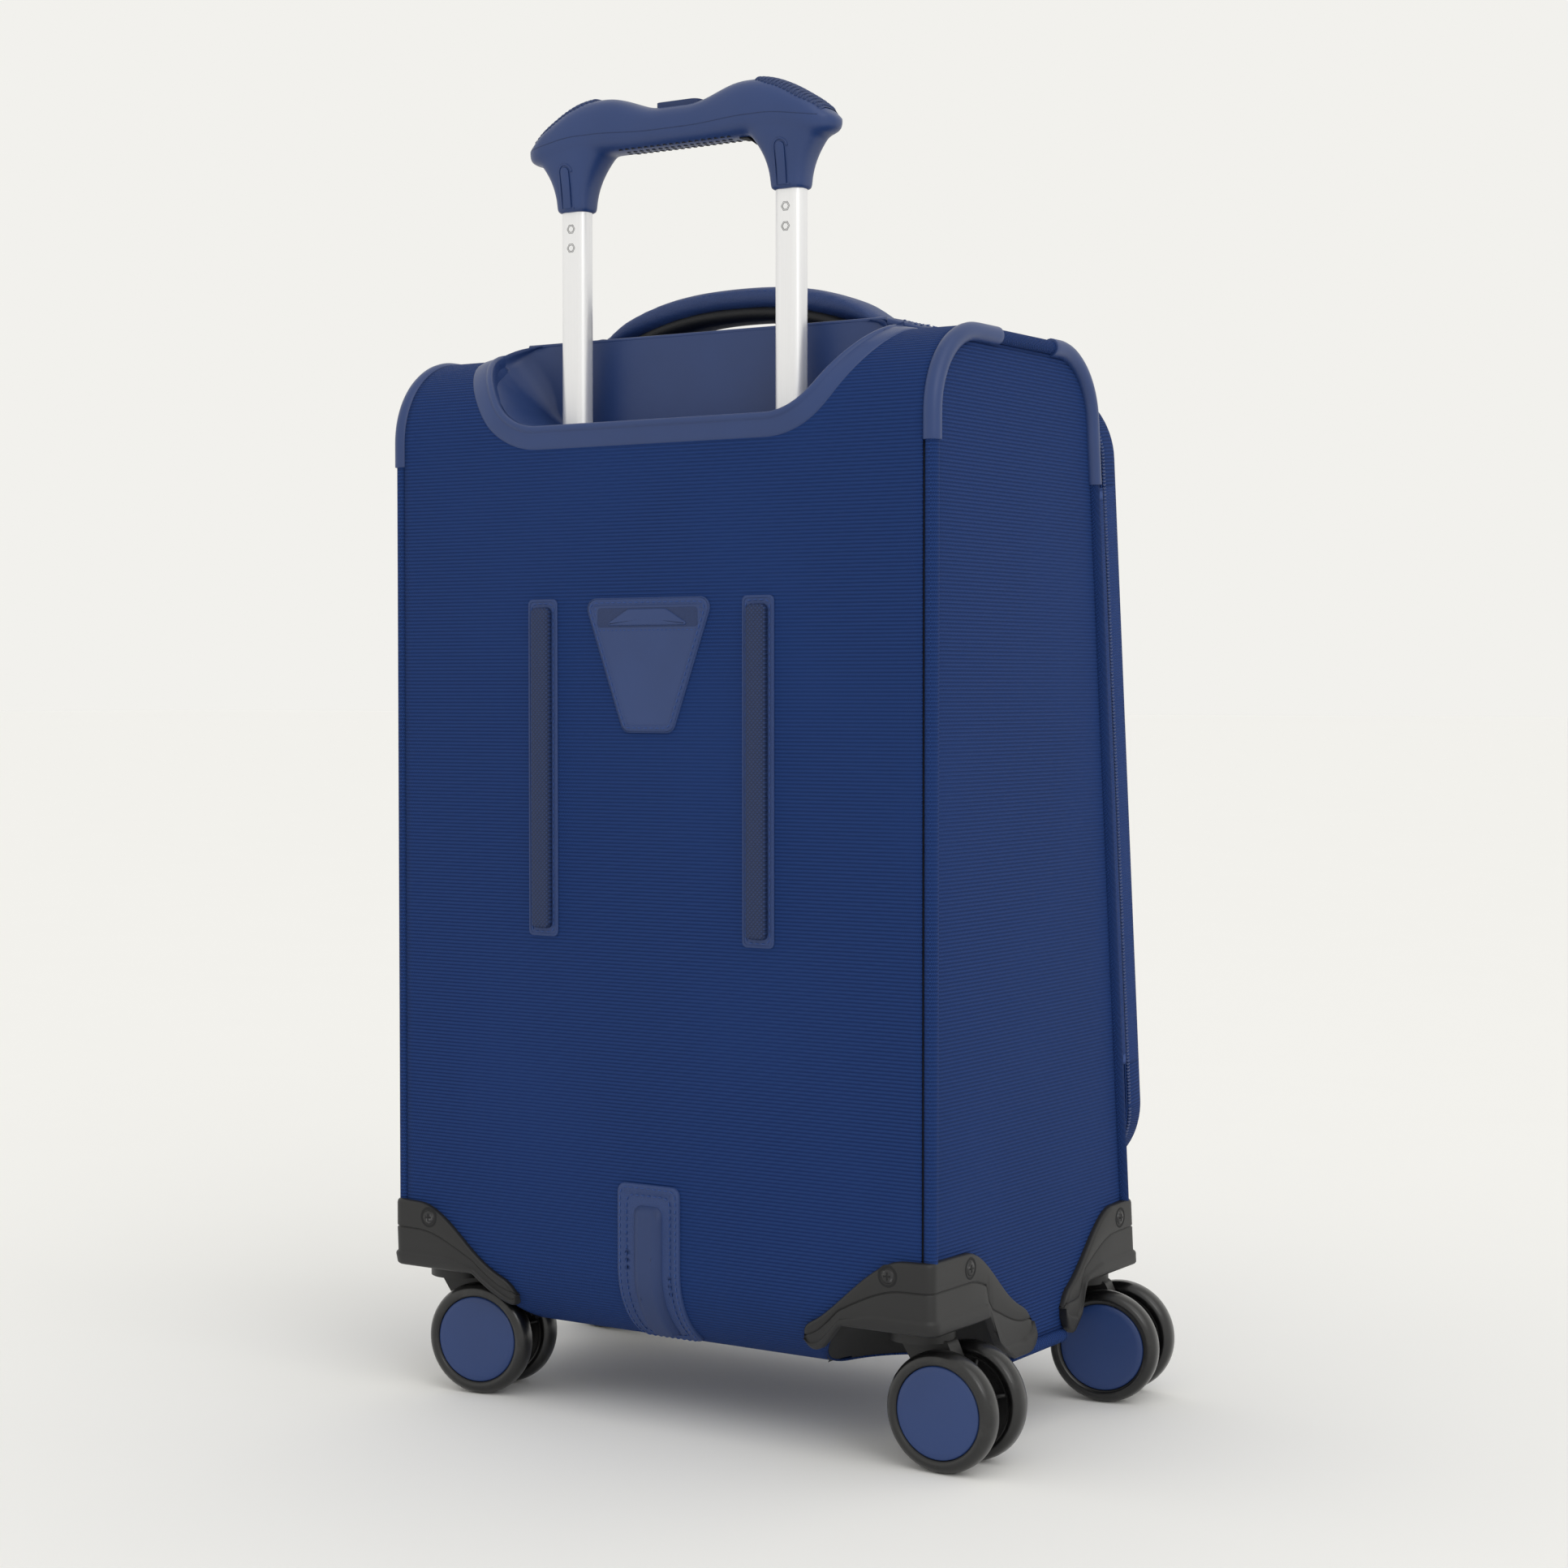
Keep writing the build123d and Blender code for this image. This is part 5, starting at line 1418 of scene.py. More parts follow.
class SUITCASE_OT_back_trims(bpy.types.Operator):
    """Sews the wear strips, name patch, its tag and the kick plate onto the back"""
    bl_idname = "suitcase.back_trims"
    bl_label = "Back Trims"

    def execute(self, context):
        self.strips()
        self.patch()
        self.kick_plate()
        return {"FINISHED"}

    def strips(self):
        low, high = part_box("wear_strips")
        base = Piece("strip_bases")
        rails = Piece("strip_rails")
        seams = Piece("strip_stitching")
        for side in (1, -1):
            x = side * TUBE_X
            outer = self.panel(x, 0.01, low.z, high.z, 0.003)
            base.plate(outer, (0, 1, 0), 0.0018, 0.0006)
            ridge = self.panel(x, 0.0088, low.z + 0.0012, high.z - 0.0012, 0.0026)
            base.sweep([p + Vector((0, 0.0018, 0)) for p in ridge], oval(0.0004, 0.0003, 8), (0, 1, 0),
                       closed=True)
            rail = self.panel(x, 0.0062, low.z + 0.0045, high.z - 0.0045, 0.003)
            rails.plate(rail, (0, 1, 0), 0.0054, 0.0022, 0.0014)
            lane = self.panel(x, 0.0076, low.z + 0.0025, high.z - 0.0025, 0.0028)
            stitches(seams, [p + Vector((0, 0.0018, 0)) for p in lane], (0, 1, 0), closed=True)
        base.make("vinyl", "case", ["wear_strips"])
        rails.make("diamond_rubber", "case")
        seams.make("thread", "case")

    def panel(self, x, half, low, high, radius):
        """Rounded rectangle on the back panel."""
        corners = [(x - half, BACK, low), (x + half, BACK, low), (x + half, BACK, high),
                   (x - half, BACK, high)]
        return loop(corners, radius, 0.0012)

    def trapezium(self, inset, low, high, half_low, half_high, radius):
        lean = (half_high - half_low) / (high - low)
        side = inset * sqrt(1 + lean ** 2)
        corners = []
        for sign, z in ((-1, low + inset), (1, low + inset), (1, high - inset), (-1, high - inset)):
            corners.append((sign * (half_low + lean * (z - low) - side), BACK, z))
        return loop(corners, max(0.0008, radius - inset), 0.0015)

    def patch(self):
        low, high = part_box("id_patch")
        shape = (low.z, high.z, 0.0165, 0.043)
        face = Piece("patch_face")
        outer = self.trapezium(0.0, *shape, 0.006)
        face.plate(outer, (0, 1, 0), 0.0019, 0.0007)
        rows = []
        for inset, rise in ((0.0006, 0.0017), (0.0011, 0.0023), (0.002, 0.0026), (0.0034, 0.0027),
                            (0.0041, 0.0024), (0.0045, 0.0018)):
            rows.append([p + Vector((0, rise, 0)) for p in self.trapezium(inset, *shape, 0.006)])
        count = min(len(row) for row in rows)
        tracks = [Track(row + row[:1]) for row in rows]
        rows = [[track.at(track.length * k / count) for k in range(count)] for track in tracks]
        face.grid([[row[k % count] for row in rows] for k in range(count + 1)])
        face.make("vinyl", "case", ["id_patch"])
        skin = Piece("patch_skin")
        rise = max(0.002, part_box("id_tag")[1].y - BACK + 0.0002)
        ring = self.trapezium(0.0042, *shape, 0.006)
        centre = sum(ring, Vector()) / len(ring)
        skin.grid([[centre.lerp(p, t) + Vector((0, rise, 0)) for p in ring]
                   for t in (0.0, 0.35, 0.7, 1.0)], close=True)
        skin.make("blue_plastic", "case")
        seams = Piece("patch_stitching")
        lane = self.trapezium(0.0027, *shape, 0.006)
        stitches(seams, [p + Vector((0, 0.0026, 0)) for p in lane], (0, 1, 0), closed=True)
        window_low, window_high, window_half = high.z - 0.016, high.z - 0.0055, 0.033
        lane = self.panel(0, window_half + 0.0016, window_low - 0.0016, window_high + 0.0016, 0.0022)
        stitches(seams, [p + Vector((0, 0.0019, 0)) for p in lane], (0, 1, 0), 0.0018, 0.0009, 0.00026,
                 closed=True)
        seams.make("thread", "case")
        window = Piece("patch_window")
        window.plate(self.panel(0, window_half, window_low, window_high, 0.0018), (0, 1, 0), 0.0023, 0.0003)
        window.make("vinyl_dark", "case")
        tab = Piece("patch_tab")
        ring = rounded_path([(-0.0285, BACK, window_low + 0.0008), (0.0285, BACK, window_low + 0.0008),
                             (0.0125, BACK, window_high - 0.0006), (-0.0125, BACK, window_high - 0.0006)],
                            [0.001, 0.001, 0.005, 0.005], 0.0012, True)[:-1]
        tab.plate(ring, (0, 1, 0), 0.0032, 0.0012)
        tab.make("blue_plastic", "case")
        repaint(id_tag="vinyl_dark")

    def kick_plate(self):
        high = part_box("kick_plate")[1]
        half = high.x
        start = BACK_MARK - CORNER_RADII["rear_low"] * pi / 2 - (0.024 - CORNER_RADII["rear_low"])
        stop = BACK_ORIGIN + high.z
        start = max(start, 0.01)
        plate = Piece("kick_plate_face")
        self.strip(plate, half, start, stop,
                   [(0.0, 0.0), (0.0001, 0.0019), (0.0007, 0.0024), (0.0016, 0.0026),
                                              (0.004, 0.0026), (0.0046, 0.0022), (0.0062, 0.002)])
        plate.make("vinyl", "case", ["kick_plate"])
        ridge = Piece("kick_plate_ridge")
        self.strip(ridge, 0.0092, start + 0.006, stop - 0.0115,
                   [(0.0, 0.0018), (0.0002, 0.0024), (0.0026, 0.0049), (0.0036, 0.0054), (0.005, 0.0055)])
        ridge.make("soft_rubber", "case")
        seams = Piece("kick_plate_stitching")
        for inset in (0.0022, 0.0062):
            ring = self.strip_ring(half - inset, start + inset, stop - inset, 0.004)
            track = Track([on_wrap(x, s, 0.0026 if inset < 0.004 else 0.0021) for x, s in ring + ring[:1]])

            def facing(s, track=track):
                p = track.at(s)
                centre = BOTTOM + CORNER_RADII["rear_low"]
                if p.z >= centre:
                    return Vector((0, 1, 0))
                return Vector((0, BACK - CORNER_RADII["rear_low"] - p.y, centre - p.z)) * -1
            stitches(seams, track.points, facing)
        seams.make("thread", "case")

    def strip_ring(self, half, start, stop, radius):
        corners = [(-half, 0, start), (half, 0, start), (half, 0, stop), (-half, 0, stop)]
        return [(p.x, p.z) for p in loop(corners, radius, 0.0015)]

    def strip(self, piece, half, start, stop, section):
        """A plate that follows the wrap, its border's section given from its edge inwards."""
        rings = []
        for inset, height in section:
            ring = self.strip_ring(half - inset, start + inset, stop - inset, max(0.0006, 0.005 - inset))
            track = Track([(x, 0, s) for x, s in ring + ring[:1]])
            rings.append([(track.at(track.length * k / 160), height) for k in range(160)])
        rows = [[on_wrap(p.x, p.z, height) for p, height in ring] for ring in rings]
        piece.grid([[row[k % 160] for row in rows] for k in range(161)])
        inner = section[-1]
        count = 40
        flat = []
        for k in range(count + 1):
            s = start + inner[0] + (stop - start - 2 * inner[0]) * k / count
            edge = half - inner[0]
            flat.append([on_wrap(edge * (2 * n / 8 - 1) * 0.999, s, inner[1]) for n in range(9)])
        piece.grid(flat)


class SUITCASE_OT_carry_handles(bpy.types.Operator):
    """Pads the two carry handles and sews their ends down"""
    bl_idname = "suitcase.carry_handles"
    bl_label = "Carry Handles"

    def execute(self, context):
        top_low, top_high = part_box("top_handle")
        side_low, side_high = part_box("side_handle")
        middle = Vector((0, (top_low.y + top_high.y) / 2, TOP))
        self.build("top_handle_pad", "top_handle", middle, Vector((1, 0, 0)), Vector((0, 0, 1)),
                   top_high.x, top_high.z - TOP, 0.039, 0.0135)
        middle = Vector((SIDE_HALF, (side_low.y + side_high.y) / 2, (side_low.z + side_high.z) / 2))
        self.build("side_handle_pad", "side_handle", middle, Vector((0, 0, 1)), Vector((1, 0, 0)),
                   (side_high.z - side_low.z) / 2, side_high.x - SIDE_HALF, 0.03, 0.0095)
        return {"FINISHED"}

    def build(self, name, node, middle, along, up, half, rise, anchor, foot):
        across = up.cross(along)
        pad = Piece(name)
        path = []
        for k in range(57):
            x = half * 0.985 * (2 * k / 56 - 1)
            path.append(middle + along * x + up * self.height(x / half, rise, foot))

        def section(t):
            end = smooth(abs(2 * t - 1), 0.78, 1.0)
            wide = 0.0152 - 0.0022 * end
            thick = 0.0058 - 0.0022 * end
            return oval(wide, thick, 20, 2.6)

        pad.sweep(path, section, up)
        body = pad.make("vinyl", "case", [node], merge=0.00001)
        inflate(body, settings().pressure, 0.0012, 0.0028)
        dress(body, "vinyl", None)
        belly = Piece(name + "_underside")
        inner = [p - up * min(0.0088, (p - middle).dot(up) * 0.5) for p in path[5:-5]]
        belly.sweep(inner, oval(0.0128, 0.0044, 16, 2.6), up)
        belly.make("vinyl_black", "case")
        seams = Piece(name + "_stitching")
        for sign in (1, -1):
            row = [p + across * (sign * 0.0122) + up * 0.0032 for p in path[5:-5]]
            stitches(seams, row, up, 0.0028, 0.0013, 0.0003)
        ends = Piece(name + "_ends")
        straps = Piece(name + "_webbing")
        for sign in (1, -1):
            start = middle + along * (sign * half * 0.93) + up * self.height(0.93, rise, foot)
            tip = middle + along * (sign * (half + anchor - 0.0015)) + up * 0.0022
            low = middle + along * (sign * (half + 0.011)) + up * (foot * 0.66)
            cover = [start, start.lerp(low, 0.5) + up * 0.0006, low, low.lerp(tip, 0.5) - up * 0.0006, tip]
            cover = Track(cover).even(0.004)
            patch = oval(0.0178, 0.0034, 20, 3.4)
            ends.sweep(cover[1:], patch, up)
            base = [middle + along * (sign * (half + d)) + up * 0.0012
                    for d in (-0.002, anchor * 0.5, anchor + 0.001)]
            straps.sweep(Track(base).even(0.004), oval(0.0188, 0.0012, 12, 4), up)
            box_half, box_low, box_high = 0.0135, half + 0.013, half + anchor - 0.005
            frame_path = rounded_path([middle + along * (sign * a) + across * b for a, b in
                                       ((box_low, -box_half), (box_high, -box_half), (box_high, box_half),
                                        (box_low, box_half))], [0.002] * 4, 0.002, True)[:-1]
            lifted = [p + up * self.cover_height(p, cover, along, up, middle) for p in frame_path]
            stitches(seams, lifted, up, closed=True)
            cross = [frame_path[0], frame_path[len(frame_path) // 2]]
            line = Track(cross).even(0.002)
            stitches(seams, [p + up * self.cover_height(p, cover, along, up, middle) for p in line], up)
        ends.make("vinyl", "case", ["handle_anchors"] if node == "top_handle" else [])
        straps.make("webbing", "case")
        seams.make("thread", "case")

    def height(self, t, rise, foot):
        """Height of the padded handle's middle over the panel."""
        arch = 1 - abs(t) ** 2.3
        return foot * 0.62 + (rise - 0.0066 - foot * 0.62) * arch

    def cover_height(self, p, cover, along, up, middle):
        near = min(cover, key=lambda q: abs((q - p).dot(along)))
        return (near - middle).dot(up) + 0.0033


class SUITCASE_OT_guards(bpy.types.Operator):
    """Moulds the four corner guards with their wheel housings, seam, bead and screws"""
    bl_idname = "suitcase.guards"
    bl_label = "Corner Guards"

    HIGH, SEAM, LOW = 0.11, 0.094, 0.0452
    THICK = 0.004
    ROUND = 0.0055
    # arms: where the upper edge starts to fall, and the tip, from the corner
    SIDE_ARM = {"rear": (0.06, 0.102), "front": (0.046, 0.088)}
    FACE_ARM = (0.038, 0.082)

    def execute(self, context):
        ring = outline(-self.THICK)
        self.faces = {}
        for end in ("rear", "front"):
            half = [(p.z, BACK - p.y) for p in ring if (BACK - p.y < 0.1) == (end == "rear") and p.z < 0.3]
            half.sort()
            self.faces[end] = ([z for z, d in half], [d for z, d in half])
        for end in ("rear", "front"):
            shell = Piece(end + "_guard_shells")
            cups = Piece(end + "_wheel_housings")
            for side in (1, -1):
                self.shell(shell, side, end)
                self.cup(cups, side, end)
            shell.make("black_plastic", "case", [end + "_guards"], merge=0.00005)
            cups.make("black_plastic", "case", merge=0.00005)
        self.screws()
        return {"FINISHED"}

    def surface(self, side, end, kind, q, z, lift=0.0):
        """A point of a guard: on its side arm, round its corner or on its face arm."""
        depth = float(np.interp(z, *self.faces[end]))
        way = 1 if end == "rear" else -1
        edge = SIDE_HALF + self.THICK
        if kind == "side":
            x, depth = edge + lift, depth + way * (self.ROUND + q)
        elif kind == "face":
            x, depth = edge - self.ROUND - q, depth - way * lift
        else:
            x = edge - self.ROUND + (self.ROUND + lift) * cos(q)
            depth += way * (self.ROUND - (self.ROUND + lift) * sin(q))
        return Vector((side * x, BACK - depth, z))

    def columns(self, side, end):
        """Places along a guard from its face arm's tip, round the corner, to its side arm's tip."""
        start, tip = self.FACE_ARM
        spots = [("face", tip - self.ROUND - (tip - self.ROUND) * k / 44, start, tip) for k in range(44)]
        spots += [("corner", pi / 2 * (1 - k / 8), 0.0, 1.0) for k in range(9)]
        start, tip = self.SIDE_ARM[end]
        spots += [("side", (tip - self.ROUND) * k / 52, start, tip) for k in range(1, 53)]
        columns = []
        for kind, q, start, tip in spots:
            reach = 0.0 if kind == "corner" else q + self.ROUND
            high = self.HIGH
            if kind != "corner":
                high -= 0.04 * smooth(reach, start - 0.02, tip + 0.004) + 0.001 * smooth(reach, 0, start)
            low = self.LOW
            for step in range(60):
                z = self.LOW + (WELL_TOP - 0.001 - self.LOW) * step / 59
                low = z
                if not in_well(self.surface(side, end, kind, q, z), 0.0008):
                    break
            columns.append([kind, q, low, high, reach, tip])
        lows = [c[2] for c in columns]
        for k, c in enumerate(columns):
            around = lows[max(0, k - 2):k + 3]
            c[2] = max(lows[k], sum(around) / len(around))
            if c[5] > 0.02:
                middle = self.LOW + 0.7 * (c[3] - self.LOW)
                for part, reach in ((2, 0.024), (3, 0.007)):
                    shut = min(1.0, max(0.0, 1 - (c[5] - c[4]) / reach))
                    c[part] = middle + (c[part] - middle) * max(sqrt(max(0.0, 1 - shut ** 2)), 0.06)
        return columns

    def shell(self, piece, side, end):
        rows = []
        seam_share = (self.SEAM - WELL_TOP) / (self.HIGH - WELL_TOP)
        columns = self.columns(side, end)
        for kind, q, low, high, reach, tip in columns:
            tall = high - low
            scale = min(1.0, tall / 0.03)
            seam = tall * seam_share + 0.0006
            profile = [(0.0, -0.0034), (0.0, 0.0002), (0.0005, 0.001), (0.0013, 0.0015), (0.0064, 0.0015),
                       (0.0073, 0.0011), (0.008, 0.0002), (0.0086, 0.0)]
            profile = [(d * scale, h) for d, h in profile]
            profile += [(seam - 0.0009, 0.0), (seam - 0.0004, -0.0002), (seam - 0.0001, -0.0008),
                        (seam + 0.0003, -0.0008), (seam + 0.0006, -0.0001), (seam + 0.0012, 0.0)]
            profile += [(tall - 0.0022, 0.0), (tall - 0.001, -0.0003), (tall - 0.0003, -0.001),
                        (tall, -0.0021),
                        (tall, -0.0042)]
            row = []
            for d, h in profile:
                z = low + min(max(d, 0.0), tall)
                thin = -0.001 * smooth(reach, tip - 0.0035, tip) if kind != "corner" else 0.0
                row.append(self.surface(side, end, kind, q, z, h + thin))
            rows.append(row)
        for k, ends in ((0, rows[0]), (-1, rows[-1])):
            kind, q = columns[k][:2]
            inner = [self.surface(side, end, kind, q + 0.0008, p.z, -self.THICK - 0.0002) for p in ends]
            rows.insert(0, inner) if k == 0 else rows.append(inner)
        piece.grid(rows)

    def cup(self, piece, side, end):
        pin = KINGPINS[end + ("_left" if side > 0 else "_right")]
        heights = [BOTTOM - 0.0006 + (WELL_TOP - BOTTOM + 0.0006) * k / 14 for k in range(15)]
        rings = [(well_radius(z), z) for z in heights]
        rings += [(WELL_RADIUS_TOP - 0.003, WELL_TOP + 0.0008), (0.03, WELL_TOP + 0.0008),
                  (0.019, WELL_TOP + 0.0008),
                  (0.0185, WELL_TOP - 0.0004), (0.0042, WELL_TOP - 0.0004)]
        rings = [(WELL_RADIUS_LOW + 0.004, BOTTOM - 0.0003),
                 (WELL_RADIUS_LOW + 0.0036, BOTTOM - 0.0012)] + rings
        rows = []
        for radius, z in rings:
            rows.append([Vector((pin.x + radius * cos(a), pin.y + radius * sin(a), z))
                         for a in (2 * pi * k / 120 for k in range(120))])

        def keep(i, j):
            middle = (rows[i][j] + rows[i + 1][(j + 1) % 120]) / 2
            depth = BACK - middle.y
            face = float(np.interp(max(middle.z, self.LOW), *self.faces[end]))
            inside = depth > face + 0.0052 if end == "rear" else depth < face - 0.0052
            if i < 3:
                return 0.046 < depth < 0.205 and abs(middle.x) < WRAP_HALF
            return inside and abs(middle.x) < SIDE_HALF

        piece.grid(rows, keep, close=True)

    def screws(self):
        heads = Piece("guard_screw_heads")
        # the cross slots and the rings round the heads are near-black: painted shade in the recesses
        slots = Piece("guard_screw_slots")
        wells = Piece("guard_screw_rings")
        high = self.HIGH - 0.0085
        for side in (1, -1):
            for end in ("rear", "front"):
                depth = 0.0365 if end == "rear" else front_depth(high) - 0.015
                spots = [(Vector((side * (SIDE_HALF + self.THICK), BACK - depth, high)),
                          Vector((side, 0, 0)))]
                face = self.surface(1, end, "face", SIDE_HALF + self.THICK - self.ROUND - 0.152, high)
                out = Vector((0, 1, 0)) if end == "rear" else OUT
                spots.append((Vector((side * 0.152, face.y, high)), out))
                for centre, out in spots:
                    wells.lathe([(0.006, -0.0001), (0.0054, 0.00025), (0.0048, 0.00025),
                                 (0.0043, -0.0001)], centre, out, 32)
                    heads.lathe([(0.0, 0.00075), (0.0022, 0.00068), (0.0033, 0.00045), (0.0039, 0.0),
                                 (0.0039, -0.0006)],
                                centre, out, 32)
                    across = out.orthogonal().normalized()
                    other = out.cross(across)
                    for arm in ((across + other).normalized(), (across - other).normalized()):
                        cut = [centre + arm * r + out * 0.00078 for r in (-0.0021, 0, 0.0021)]
                        slots.sweep(cut, oval(0.00045, 0.0001, 8, 4), out)
        heads.make("dark_metal", "case", ["guard_screws"])
        slots.make("painted_recess_shade", "case")
        wells.make("painted_recess_shade", "case")


class SUITCASE_OT_casters(bpy.types.Operator):
    """Turns the eight wheels: a cast tyre on a moulded core behind a satin disc"""
    bl_idname = "suitcase.casters"
    bl_label = "Casters"

    def execute(self, context):
        repaint(kingpins="dark_metal")
        for corner, heading in CASTERS.items():
            repaint(**{"fork_" + corner: "black_plastic"})
            turn = radians(heading)
            forward = Vector((cos(turn), sin(turn), 0))
            across = Vector((-sin(turn), cos(turn), 0))
            pin = KINGPINS[corner]
            hub = Vector((pin.x, pin.y, WHEEL_RADIUS)) + forward * TRAIL
            for label in "ab":
                node = f"wheel_{corner}_{label}"
                low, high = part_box(node)
                middle = (low + high) / 2
                out = across if (middle - hub).dot(across) > 0 else -across
                self.wheel(node, hub, out)
        return {"FINISHED"}

    def wheel(self, node, hub, out):
        near, far = WHEEL_GAP / 2, WHEEL_GAP / 2 + WHEEL_WIDTH
        radius = WHEEL_RADIUS
        tyre = Piece(node + "_tyre")
        shape = [(radius - 0.0068, far - 0.0012), (radius - 0.0058, far - 0.0004),
                 (radius - 0.004, far - 0.0003),
                 (radius - 0.0022, far - 0.001), (radius - 0.0008, far - 0.0026),
                 (radius - 0.0001, far - 0.0048),
                 (radius, (near + far) / 2), (radius - 0.0001, near + 0.0048),
                 (radius - 0.0008, near + 0.0026),
                 (radius - 0.0022, near + 0.001), (radius - 0.004, near + 0.0003),
                 (radius - 0.0058, near + 0.0004),
                 (radius - 0.0068, near + 0.0012), (radius - 0.0068, far - 0.0012)]
        tyre.lathe(shape, hub, out, 96)
        tyre.make("tyre_rubber", node, [node])
        disc = Piece(node + "_disc")
        face = [(0.0, far - 0.0006), (0.01, far - 0.0006), (0.0205, far - 0.0008), (0.0232, far - 0.0009),
                (0.024, far - 0.0013), (0.0242, far - 0.0022)]
        disc.lathe(face, hub, out, 96)
        disc.make("disc_plastic", node)
        core = Piece(node + "_core")
        shape = [(0.0242, far - 0.0022), (0.0246, far - 0.0012), (0.025, far - 0.0008), (0.0254, far - 0.001),
                 (0.0256, far - 0.003), (0.0256, near + 0.003), (0.0246, near + 0.0012),
                 (0.0225, near + 0.003),
                 (0.016, near + 0.0034), (0.0095, near + 0.003), (0.0078, near + 0.0008),
                 (0.006, near + 0.0004),
                 (0.0036, near + 0.0004), (0.0034, near + 0.001)]
        core.lathe(shape, hub, out, 96)
        for k in range(6):
            turn = radians(60 * k)
            side = out.orthogonal().normalized()
            arm = side * cos(turn) + out.cross(side) * sin(turn)
            spoke = [hub + arm * r + out * (near + 0.0026) for r in (0.0085, 0.016, 0.0235)]
            core.sweep(spoke, oval(0.0011, 0.0012, 8), out)
        core.make("black_plastic", node)


